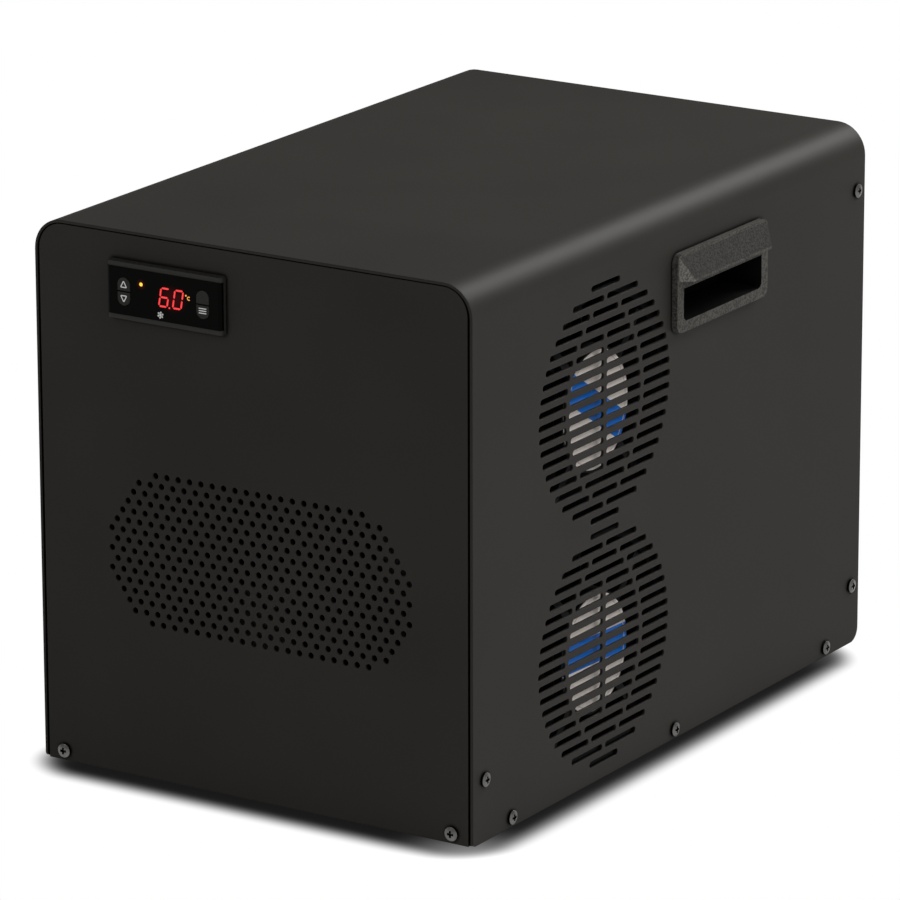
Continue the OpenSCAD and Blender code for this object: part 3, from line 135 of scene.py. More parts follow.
class Bench:
    """The node tree of one material, or of the world."""

    def __init__(self, name: str, holder: bpy.types.World | None = None) -> None:
        """Starts an empty tree.

        Args:
            name: the material's name.
            holder: the world, or None for a new material.
        """
        self.material = holder or bpy.data.materials.new(name)
        self.material.use_nodes = True
        self.tree = self.material.node_tree
        self.tree.nodes.clear()

    def node(self, kind: str, settings: dict | None = None, inputs: dict | None = None,
             output: int | str = 0) -> Signal:
        """Adds any node.

        Args:
            kind: the node's type.
            settings: its settings, made first.
            inputs: values or links by socket name or number.
            output: the output socket that is returned.

        Returns:
            The chosen output.
        """
        made = self.tree.nodes.new(kind)
        for key, value in (settings or {}).items():
            setattr(made, key, value)
        for key, value in (inputs or {}).items():
            if isinstance(value, Signal):
                self.tree.links.new(value.socket, made.inputs[key])
            elif isinstance(value, tuple) and len(value) == 3 and made.inputs[key].type == "RGBA":
                made.inputs[key].default_value = (*value, 1.0)
            else:
                made.inputs[key].default_value = value
        return Signal(self, made.outputs[output])

    def place(self) -> Signal:
        """The point on the object, in metres."""
        return self.node("ShaderNodeTexCoord", output="Object")

    def axes(self, point: Signal) -> tuple[Signal, Signal, Signal]:
        """A point's X, Y and Z."""
        outputs = self.node("ShaderNodeSeparateXYZ", inputs={0: point}).socket.node.outputs
        return tuple(Signal(self, output) for output in outputs)

    def noise(self, grain: float, detail: float = 3.0, rough: float = 0.5,
              stretch: Triple | None = None) -> Signal:
        """Noise between 0 and 1, read at the point on the object.

        Args:
            grain: the size of its largest features, in metres.
            detail: the number of finer layers.
            rough: the weight of the finer layers.
            stretch: factors of the point's axes, or None.

        Returns:
            The noise.
        """
        point = self.place()
        if stretch:
            point = self.node("ShaderNodeMapping", inputs={"Vector": point, "Scale": stretch})
        return self.node("ShaderNodeTexNoise", inputs={
            "Vector": point, "Scale": 1.0 / grain, "Detail": detail, "Roughness": rough})

    def blend(self, share: Signal, first: "Colour | Signal", second: "Colour | Signal") -> Signal:
        """A colour between two others: share is 0 for the first and 1 for the second."""
        return self.node("ShaderNodeMix", {"data_type": "RGBA"}, {0: share, 6: first, 7: second}, 2)

    def mottle(self, mask: Signal, colour: Colour, shades: Range) -> Signal:
        """A colour between its two shades: the mask is 0 for the first and 1 for the second."""
        return self.blend(mask, shade(colour, shades[0]), shade(colour, shades[1]))

    def bump(self, height: Signal, depth: float, edge: float = 0.0) -> Signal:
        """A normal bent by a height.

        Args:
            height: the height as a share of depth.
            depth: the full height, in metres.
            edge: the radius to which sharp edges seem rounded, or 0 for none.

        Returns:
            The bent normal.
        """
        inputs = {"Height": height, "Distance": depth, "Strength": 1.0}
        if edge:
            inputs["Normal"] = self.node("ShaderNodeBevel", {"samples": BEVEL_SAMPLES}, {"Radius": edge})
        return self.node("ShaderNodeBump", inputs=inputs)

    def finish(self, **inputs: "Signal | float | Colour") -> Material:
        """Ends the material with a Principled shader.

        Args:
            inputs: the shader's sockets, with _ for a space in their names.

        Returns:
            The material.
        """
        shader = self.node("ShaderNodeBsdfPrincipled", inputs={
            key.replace("_", " "): value for key, value in inputs.items()})
        self.node_out(shader)
        return self.material

    def node_out(self, shader: Signal, kind: str = "ShaderNodeOutputMaterial") -> None:
        """Leads a shader to a new output node of that kind."""
        out = self.tree.nodes.new(kind)
        self.tree.links.new(shader.socket, out.inputs["Surface"])


def shade(colour: Colour, factor: float) -> Colour:
    """The colour times a factor."""
    return tuple(min(1.0, c * factor) for c in colour)


# Finishes

@dataclass(frozen=True)
class PowderCoat:
    """Baked powder paint: an even colour with a faint orange peel, and painted shade in its seams."""

    name: str = "powder_coat"
    colour: Colour = (0.0200, 0.0186, 0.0161)
    roughness: float = 0.53
    gloss: float = 0.07
    peel: float = 1.3 * MM
    peel_depth: float = 0.006 * MM
    edge: float = 0.7 * MM
    seam: float = 2.2 * MM
    seam_sky: Range = (0.65, 0.97)
    seam_painted_shade: float = 0.08
    sky_samples: int = 4
    cloud: float = 90 * MM
    speck: float = 0.35 * MM
    shares: Triple = (0.6, 0.25, 0.15)
    shades: Range = (0.9, 1.1)
    peel_share: float = 0.8

    def build(self) -> Material:
        """Makes the material. Painted shade darkens the seams, where little open sky is left round a point.
        """
        bench = Bench(self.name)
        cloud = bench.noise(self.cloud, detail=2.0)
        grit = bench.noise(self.peel, detail=2.0, rough=0.6)
        speck = bench.noise(self.speck, detail=1.0)
        mask = (cloud * self.shares[0] + grit * self.shares[1] + speck * self.shares[2]).step(*SOFT)
        unshaded_colour = bench.mottle(mask, self.colour, self.shades)
        # Painted shade: near other surfaces, in seams and round screw heads, the colour goes almost black.
        sky = bench.node(
            "ShaderNodeAmbientOcclusion", {"samples": self.sky_samples}, {"Distance": self.seam}, "AO")
        height = grit * self.peel_share + speck * (1 - self.peel_share)
        return bench.finish(
            Base_Color=bench.blend(sky.step(*self.seam_sky), shade(self.colour, self.seam_painted_shade), unshaded_colour),
            Roughness=grit.spread(0.10) + cloud.spread(0.05) + self.roughness,
            Specular_IOR_Level=self.gloss, Normal=bench.bump(height, self.peel_depth, self.edge))


@dataclass(frozen=True)
class MouldedPlastic:
    """Moulded plastic with a sparked grain and slight colour flow."""

    name: str
    colour: Colour
    roughness: float = 0.5
    gloss: float = 0.5
    grain: float = 0.9 * MM
    grain_depth: float = 0.02 * MM
    contrast: float = 0.12
    flow: float = 22 * MM
    flow_stretch: Triple = (1.0, 0.3, 1.0)
    pits_share: float = 0.75
    mask: Range = (0.32, 0.68)

    def build(self) -> Material:
        """Makes the material."""
        bench = Bench(self.name)
        pits = bench.noise(self.grain, rough=0.65)
        flow = bench.noise(self.flow, detail=2.0, stretch=self.flow_stretch)
        mask = (pits * self.pits_share + flow * (1 - self.pits_share)).step(*self.mask)
        return bench.finish(
            Base_Color=bench.mottle(mask, self.colour, (1 - self.contrast, 1 + self.contrast)),
            Roughness=pits.spread(0.2) + self.roughness,
            Specular_IOR_Level=self.gloss, Normal=bench.bump(pits, self.grain_depth))


@dataclass(frozen=True)
class HandleNylon:
    """Nylon with a coarse sparked grain.

    The grip's sloping hood carries painted shade, darker than its flat rim; the hood's end facets carry a
    painted highlight, paler; and the pocket behind the mouth, with the mouth's walls, carries painted shade,
    near black. The mouth is given by its middle and its half sides along Y and Z; sloping, upward and level
    are ranges of the faces' normals.
    """

    name: str = "grained_handle"
    rim: Colour = (0.0480, 0.0462, 0.0420)
    hood: Colour = (0.0230, 0.0222, 0.0200)
    facet: Colour = (0.1150, 0.1105, 0.1010)
    pocket: Colour = (0.0035, 0.0034, 0.0032)
    grain: float = 1.15 * MM
    grain_depth: float = 0.1 * MM
    pocket_shade_x: Range = (133 * MM, 138 * MM)
    mouth: Spot = (32.95 * MM, 254.3 * MM)
    half_mouth: Spot = (42.0 * MM, 9.45 * MM)
    mouth_blur: float = 0.15 * MM
    sloping: Range = (0.25, 0.35)
    upward: Range = (0.2, 0.3)
    level: Range = (0.5, 0.3)
    fine: float = 0.5 * MM
    pits_share: float = 0.8
    relief_share: float = 0.7
    speckle_mask: Range = (0.36, 0.62)
    speckle: Range = (0.5, 1.5)
    roughness: float = 0.6
    gloss: float = 0.04
    edge: float = 0.5 * MM

    def build(self) -> Material:
        """Makes the material. The way a face points tells the hood and its ends from the rim, for the painted
        shade and highlight.
        """
        bench = Bench(self.name)
        turn_x, turn_y, turn_z = bench.axes(bench.node("ShaderNodeNewGeometry", output="True Normal"))
        sloping = turn_x.size().step(*self.sloping)
        hood = sloping * turn_z.step(*self.upward)
        facet = sloping * turn_y.size().step(*self.sloping)
        pits = bench.noise(self.grain, detail=2.0, rough=0.7)
        fine = bench.noise(self.fine, detail=1.0)
        # Painted shade on the hood and a painted highlight on its end facets.
        body = bench.blend(facet, bench.blend(hood, self.rim, self.hood), self.facet)
        grit = (pits * self.pits_share + fine * (1 - self.pits_share)).step(*self.speckle_mask)
        factor = bench.blend(grit, (self.speckle[0],) * 3, (self.speckle[1],) * 3)
        settings = {"data_type": "RGBA", "blend_type": "MULTIPLY"}
        speckled = bench.node("ShaderNodeMix", settings, {0: 1.0, 6: body, 7: factor}, 2)
        x, y, z = bench.axes(bench.place())
        across, upright = (axis.within(middle, half, self.mouth_blur) for axis, middle, half in
                           zip((y, z), self.mouth, self.half_mouth))
        walls = across * upright * turn_x.size().step(*self.level)
        # Painted shade: the pocket inside the housing and the walls of the mouth are coloured near black.
        outside = x.size().step(*self.pocket_shade_x) * (1.0 - walls)
        relief = pits * self.relief_share + fine * (1 - self.relief_share)
        return bench.finish(
            Base_Color=bench.blend(outside, self.pocket, speckled),
            Roughness=pits.spread(0.2) + self.roughness, Specular_IOR_Level=self.gloss,
            Normal=bench.bump(relief, self.grain_depth, self.edge))


@dataclass(frozen=True)
class SheetSteel:
    """Bare or plated steel: metal with a fine grain along one axis and soft blotches."""

    name: str
    colour: Colour
    roughness: float = 0.35
    along: Triple = (1.0, 1.0, 0.08)
    grain: float = 0.8 * MM
    depth: float = 0.004 * MM
    blotch: float = 16 * MM
    lines_share: float = 0.55
    mask: Range = (0.25, 0.75)
    shades: Range = (0.86, 1.1)

    def build(self) -> Material:
        """Makes the material."""
        bench = Bench(self.name)
        point = bench.place()
        lines = bench.noise(self.grain, rough=0.6, stretch=self.along)
        cells = {"Vector": point, "Scale": 1.0 / self.blotch}
        spot = bench.axes(bench.node("ShaderNodeTexVoronoi", None, cells, "Color"))[0]
        mask = (lines * self.lines_share + spot * (1 - self.lines_share)).step(*self.mask)
        return bench.finish(
            Base_Color=bench.mottle(mask, self.colour, self.shades), Metallic=1.0,
            Roughness=lines.spread(0.2) + spot.spread(0.08) + self.roughness,
            Normal=bench.bump(lines, self.depth))


@dataclass(frozen=True)
class ScrewPlating:
    """Plated steel that is bright where it stands free and darkened by painted shade where it is closed in.
    """

    name: str = "screw_plating"
    colour: Colour = (0.135, 0.132, 0.125)
    dark: Colour = (0.002, 0.002, 0.002)
    reach: float = 2.8 * MM
    reach_sky: Range = (0.7, 0.98)
    sky_samples: int = 8
    edge: float = 0.35 * MM
    scratch: float = 0.5 * MM
    scratch_depth: float = 0.004 * MM
    cloud: float = 3 * MM
    shades: Range = (0.85, 1.1)
    roughness: float = 0.36

    def build(self) -> Material:
        """Makes the material. The share of open sky left round a point tells the two apart."""
        bench = Bench(self.name)
        scratch = bench.noise(self.scratch, detail=2.0)
        cloud = bench.noise(self.cloud, detail=2.0)
        # Painted shade: the cross recess and the foot of the head, closed in by other surfaces, go near
        # black.
        sky = bench.node(
            "ShaderNodeAmbientOcclusion", {"samples": self.sky_samples}, {"Distance": self.reach}, "AO")
        metal = bench.mottle(cloud.step(*SOFT), self.colour, self.shades)
        return bench.finish(
            Base_Color=bench.blend(sky.step(*self.reach_sky), self.dark, metal), Metallic=1.0,
            Roughness=scratch.spread(0.16) + self.roughness,
            Normal=bench.bump(scratch, self.scratch_depth, self.edge))


@dataclass(frozen=True)
class DrawnCopper:
    """Copper pipe with a brown bloom and fine draw marks."""

    name: str = "drawn_copper"
    colour: Colour = (0.78, 0.33, 0.17)
    bloom: Colour = (0.32, 0.13, 0.07)
    bloom_mask: Range = (0.45, 0.75)
    cloud: float = 14 * MM
    marks: float = 0.7 * MM
    marks_depth: float = 0.004 * MM
    roughness: float = 0.2

    def build(self) -> Material:
        """Makes the material."""
        bench = Bench(self.name)
        cloud = bench.noise(self.cloud, detail=4.0, rough=0.6)
        marks = bench.noise(self.marks, detail=2.0)
        return bench.finish(
            Base_Color=bench.blend(cloud.step(*self.bloom_mask), self.colour, self.bloom), Metallic=1.0,
            Roughness=cloud * 0.25 + marks.spread(0.1) + self.roughness,
            Normal=bench.bump(marks, self.marks_depth))


@dataclass(frozen=True)
class FinStock:
    """Thin aluminium fins: bright metal with a faint ripple."""

    name: str = "fin_stock"
    colour: Colour = (0.74, 0.76, 0.78)
    ripples: float = 60.0
    ripple_depth: float = 0.05 * MM
    dust: float = 9 * MM
    dust_mask: Range = (0.4, 0.8)
    dusty: float = 0.72
    roughness: float = 0.25

    def build(self) -> Material:
        """Makes the material."""
        bench = Bench(self.name)
        point = bench.place()
        ripple = bench.node("ShaderNodeTexWave", {"wave_type": "BANDS", "bands_direction": "Z"},
                            {"Vector": point, "Scale": self.ripples, "Distortion": 0.6, "Detail": 1.0}, "Fac")
        dust = bench.noise(self.dust)
        return bench.finish(
            Base_Color=bench.mottle(dust.step(*self.dust_mask), self.colour, (1.0, self.dusty)), Metallic=1.0,
            Roughness=dust * 0.2 + self.roughness, Normal=bench.bump(ripple, self.ripple_depth))


@dataclass(frozen=True)
class TurnedMetal:
    """Metal turned on a lathe: fine rings round an axis along Y."""

    name: str = "turned_steel"
    colour: Colour = (0.63, 0.62, 0.61)
    roughness: float = 0.24
    ring: float = 0.35 * MM
    ring_depth: float = 0.006 * MM
    ring_stretch: Triple = (0.05, 1.0, 0.05)
    smear: float = 7 * MM
    smear_mask: Range = (0.35, 0.75)
    smeared: float = 0.8

    def build(self) -> Material:
        """Makes the material."""
        bench = Bench(self.name)
        rings = bench.noise(self.ring, detail=2.0, stretch=self.ring_stretch)
        smear = bench.noise(self.smear)
        return bench.finish(
            Base_Color=bench.mottle(smear.step(*self.smear_mask), self.colour, (1.0, self.smeared)),
            Metallic=1.0, Roughness=rings.spread(0.16) + smear * 0.1 + self.roughness,
            Normal=bench.bump(rings, self.ring_depth))


@dataclass(frozen=True)
class DisplayWindow:
    """Smoked gloss plastic, with the lit figures' red haze and the lamp's haze in it."""

    name: str = "display_window"
    colour: Colour = (0.0012, 0.0011, 0.0009)
    figures: Spot = (0.0, 0.0)
    figures_reach: Spot = (12.5 * MM, 9.5 * MM)
    lamp: Spot = (0.0, 0.0)
    lamp_reach: float = 3.8 * MM
    haze: Colour = (0.036, 0.001, 0.0015)
    figures_share: float = 0.75
    dust: float = 6 * MM
    roughness: float = 0.16
    gloss: float = 0.025

    def glow(self, bench: Bench, middle: Spot, reach: Spot) -> Signal:
        """A light's haze: the cube of a smooth fall from 1 at its middle to 0 at its reach.

        Args:
            bench: the material's tree.
            middle: X and Z of the light.
            reach: how far the haze goes along X and along Z.

        Returns:
            The haze's share.
        """
        x, _, z = bench.axes(bench.place())
        across, above = (x - middle[0]) / reach[0], (z - middle[1]) / reach[1]
        fall = (across * across + above * above).step(1.0, 0.0)
        return fall * fall * fall

    def build(self) -> Material:
        """Makes the material."""
        bench = Bench(self.name)
        figures = self.glow(bench, self.figures, self.figures_reach)
        lamp = self.glow(bench, self.lamp, (self.lamp_reach, self.lamp_reach))
        dust = bench.noise(self.dust)
        haze = bench.blend(figures * self.figures_share + lamp, BLACK, self.haze)
        return bench.finish(
            Base_Color=self.colour, Roughness=dust * 0.08 + self.roughness, Specular_IOR_Level=self.gloss,
            Emission_Color=haze, Emission_Strength=1.0)


@dataclass(frozen=True)
class LitSign:
    """A lit sign: it glows almost evenly, with faint clouds."""

    name: str
    colour: Colour
    strength: float = 1.0
    cloud: float = 1.6 * MM
    shades: Range = (0.88, 1.0)
    unlit: float = 0.2

    def build(self) -> Material:
        """Makes the material."""
        bench = Bench(self.name)
        cloud = bench.noise(self.cloud, detail=2.0)
        return bench.finish(
            Base_Color=shade(self.colour, self.unlit), Roughness=0.5,
            Emission_Color=bench.mottle(cloud.step(*SOFT), self.colour, self.shades),
            Emission_Strength=self.strength)


@dataclass(frozen=True)
class PrintedDisc:
    """The film on a fan's hub: a pale disc with a band of colour across it and a thin printed ring."""

    name: str
    middle: Spot
    angle: float
    offset: float
    half_width: float
    band: Colour = (0.003, 0.18, 0.74)
    paper: Colour = (0.94, 0.86, 0.80)
    band_blur: float = 0.15 * MM
    ring: float = 30.4 * MM
    ring_half: float = 0.35 * MM
    ring_blur: float = 0.1 * MM
    ring_shade: float = 0.7
    fibre: float = 2.5 * MM
    fibre_depth: float = 0.01 * MM
    shades: Range = (0.96, 1.0)
    roughness: float = 0.42
    gloss: float = 0.15

    def build(self) -> Material:
        """Makes the material: the band lies where its middle line is nearer than its half width."""
        bench = Bench(self.name)
        _, y, z = bench.axes(bench.place())
        y, z = y - self.middle[0], z - self.middle[1]
        across = z * math.cos(self.angle) - y * math.sin(self.angle) - self.offset
        band = across.within(0.0, self.half_width, self.band_blur)
        line = y.length(z).within(self.ring, self.ring_half, self.ring_blur)
        fibre = bench.noise(self.fibre)
        paper = bench.mottle(fibre.step(*SOFT), self.paper, self.shades)
        ink = bench.blend(band, paper, self.band)
        return bench.finish(
            Base_Color=bench.blend(line, ink, shade(self.paper, self.ring_shade)),
            Roughness=fibre.spread(0.1) + self.roughness, Specular_IOR_Level=self.gloss,
            Normal=bench.bump(fibre, self.fibre_depth))


class Finish(Enum):
    """The finishes of the sub-assemblies; each is made once."""

    COAT = PowderCoat()
    INNER_COAT = PowderCoat("inner_coat", (0.0050, 0.0048, 0.0044), 0.6, 0.05)
    HANDLE = HandleNylon()
    CASE = MouldedPlastic(
        "controller_moulding", (0.0190, 0.0182, 0.0162), 0.48, 0.14, 0.6 * MM, 0.006 * MM, 0.08)
    KEY = MouldedPlastic("key_rubber", (0.0165, 0.0160, 0.0147), 0.6, 0.12, 0.5 * MM, 0.008 * MM, 0.08)
    FAN = MouldedPlastic("fan_moulding", (0.0045, 0.0045, 0.0047), 0.5, 0.1, 1.2 * MM, 0.01 * MM, 0.15)
    SCREW = ScrewPlating()
    ZINC = SheetSteel("zinc_sheet", (0.52, 0.53, 0.55), 0.38)
    ROTOR = SheetSteel("rotor_steel", (0.40, 0.40, 0.41), 0.34, (0.1, 1.0, 1.0))
    RUBBER = MouldedPlastic("foot_rubber", (0.012, 0.012, 0.012), 0.75, 0.3, 1.4 * MM, 0.02 * MM, 0.18)
    DARK_ZINC = SheetSteel("dark_zinc", (0.035, 0.035, 0.037), 0.5)
    COPPER = DrawnCopper()
    LACQUERED = DrawnCopper("lacquered_copper", (0.070, 0.030, 0.017), (0.030, 0.014, 0.008))
    FINS = FinStock()
    SHELL = PowderCoat("compressor_enamel", (0.010, 0.010, 0.011), 0.3, 0.5, 2.2 * MM, 0.01 * MM)
    MOULDING = MouldedPlastic("inner_moulding", (0.028, 0.028, 0.029), 0.5)
    CAN = SheetSteel("capacitor_can", (0.66, 0.66, 0.66), 0.28, (1.0, 1.0, 0.1))
    TURNED = TurnedMetal()
    PINS = SheetSteel("pin_plating", (0.62, 0.57, 0.42), 0.26, (1.0, 0.1, 1.0), 0.5 * MM, 0.004 * MM, 4 * MM)
    # The white signs are print; their emission is a painted glow.
    WHITE = LitSign("glowing_white_print", (0.78, 0.78, 0.76), 0.42)
    RED = LitSign("red_figures", (0.95, 0.036, 0.038))
    AMBER = LitSign("amber_lamp", (1.0, 0.74, 0.06))
    DEGREES = LitSign("amber_signs", (0.92, 0.38, 0.07))

    def material(self) -> Material:
        """The finish's material, made once."""
        return bpy.data.materials.get(self.value.name) or self.value.build()


def dress(material: Material, nodes: str) -> None:
    """Gives CAD nodes a material.

    Args:
        material: the material.
        nodes: the nodes' names, with spaces between them.
    """
    for name in nodes.split():
        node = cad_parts[name]
        node.data.materials.clear()
        node.data.materials.append(material)


def dress_all(table: dict[Finish, str]) -> None:
    """Gives each finish of the table to its CAD nodes, named with spaces between them."""
    for finish, nodes in table.items():
        dress(finish.material(), nodes)


def middle_of(node: str, across: str = "x") -> Spot:
    """The middle of a node's box along a flat axis, x or y, and along Z."""
    low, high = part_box(node)
    return (getattr(low, across) + getattr(high, across)) / 2, (low.z + high.z) / 2


# Surfaces

def mesh_piece(name: str, points: np.ndarray, faces: np.ndarray, material: Material,
               smooth: bool = False) -> bpy.types.Object:
    """Puts points and faces into a new piece.

    Args:
        name: the piece's name.
        points: an n by 3 array, in metres.
        faces: an m by 3 or m by 4 array of point numbers.
        material: its material.
        smooth: whether faces meet smoothly under the sharp angle.

    Returns:
        The piece.
    """
    mesh = bpy.data.meshes.new(name)
    sides = faces.shape[1]
    mesh.vertices.add(len(points))
    mesh.vertices.foreach_set("co", np.ascontiguousarray(points, np.float32).ravel())
    mesh.loops.add(faces.size)
    mesh.loops.foreach_set("vertex_index", np.ascontiguousarray(faces, np.int32).ravel())
    mesh.polygons.add(len(faces))
    mesh.polygons.foreach_set("loop_start", np.arange(0, faces.size, sides, dtype=np.int32))
    mesh.update(calc_edges=True)
    mesh.validate()
    mesh.materials.append(material)
    piece = bpy.data.objects.new(name, mesh)
    bpy.context.scene.collection.objects.link(piece)
    if smooth:
        mesh.shade_smooth()
        mesh.set_sharp_from_angle(angle=SHARP_ANGLE)
    return piece


def wrap_grid(rows: int, columns: int) -> np.ndarray:
    """Quads of a grid that closes on itself both ways.

    Point (i, j) joins (i + 1, j), (i + 1, j + 1) and (i, j + 1).

    Args:
        rows: points one way.
        columns: points the other way.

    Returns:
        A rows * columns by 4 array of point numbers.
    """
    i, j = np.meshgrid(np.arange(rows), np.arange(columns), indexing="ij")
    after_i, after_j = (i + 1) % rows, (j + 1) % columns
    corners = (i * columns + j, after_i * columns + j, after_i * columns + after_j, i * columns + after_j)
    return np.stack([c.ravel() for c in corners], axis=1)


@dataclass
class Print:
    """Flat signs on a front face: outlines in X and Z that are given a hair of thickness along Y."""

    face_y: float
    thickness: float = 0.06 * MM
    points: list[np.ndarray] = field(default_factory=list)
    faces: list[np.ndarray] = field(default_factory=list)

    def patch(self, outline: np.ndarray) -> None:
        """Adds a convex outline: front and back fans about its middle, and a strip round its edge.

        Args:
            outline: an n by 2 array of X and Z, counter-clockwise seen from the front.
        """
        count = len(outline)
        middle = outline.mean(axis=0)
        flat = np.vstack([outline, middle])
        front = np.insert(flat, 1, self.face_y - self.thickness, axis=1)
        back = np.insert(flat, 1, self.face_y, axis=1)
        ring = np.arange(count)
        after = (ring + 1) % count
        base = sum(len(p) for p in self.points)
        low = count + 1
        self.points.append(np.vstack([front, back]))
        self.faces.append(base + np.concatenate([
            np.stack([ring, after, np.full(count, count)], axis=1),
            np.stack([low + after, low + ring, np.full(count, low + count)], axis=1),
            np.stack([ring, low + ring, low + after], axis=1),
            np.stack([ring, low + after, after], axis=1)]))

    def bar(self, start: Spot | np.ndarray, end: Spot | np.ndarray, width: float,
            point: float = 0.0) -> None:
        """Adds a straight bar whose ends come to a blunt point.

        Args:
            start: X and Z of one end.
            end: X and Z of the other.
            width: its width.
            point: the length of each pointed end.
        """
        a, b = np.array(start), np.array(end)
        along = (b - a) / np.linalg.norm(b - a)
        side = np.array([-along[1], along[0]]) * width / 2
        tip = along * point
        outline = [a, a + tip - side, b - tip - side, b, b - tip + side, a + tip + side]
        if point == 0.0:
            outline = [a - side, b - side, b + side, a + side]
        self.patch(np.array(outline))

    def disc(self, middle: Spot, radius: float, inner: float = 0.0, start: float = 0.0,
             stop: float = FULL_TURN, steps: int = 24) -> None:
        """Adds a disc, or an arc of a ring as a row of short patches.

        Args:
            middle: X and Z of its centre.
            radius: its outer radius.
            inner: the hole's radius, 0 for none.
            start: the angle at which an arc starts.
            stop: the angle at which it ends.
            steps: the number of edges or patches.
        """
        angles = np.linspace(start, stop, steps + 1)
        circle = np.stack([np.cos(angles), np.sin(angles)], axis=1)
        if inner == 0.0:
            self.patch(np.array(middle) + circle[:-1] * radius)
            return
        for a, b in zip(circle[:-1], circle[1:]):
            self.patch(np.array(middle) + np.array([a * inner, a * radius, b * radius, b * inner]))

    def piece(self, name: str, finish: Finish, body: str = "housing",
              slot: str = "window_plastic") -> None:
        """Makes one piece of all the patches.

        Args:
            name: the piece's name.
            finish: its finish.
            body: the body it rides on.
            slot: not used.
        """
        made = mesh_piece(name, np.vstack(self.points), np.vstack(self.faces), finish.material())
        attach(made, body)
        log.info("%s: %d faces", name, len(made.data.polygons))


# Sub-assemblies

@dataclass
class Housing:
    """The sheet cover, its end panels, the base, the feet and the screws."""

    coated: str = "wrap_cover front_panel rear_panel"
    inner: str = "base_pan fan_shroud"
    screws: str = "cover_screws panel_screws foot_screws mains_screws"
    handles: str = "handle_right handle_left"

    def build(self) -> None:
        """Dresses the housing's nodes."""
        dress_all({Finish.COAT: self.coated, Finish.INNER_COAT: self.inner, Finish.SCREW: self.screws,
                   Finish.HANDLE: self.handles, Finish.RUBBER: "feet"})
        log.info("housing: %s", self.coated)


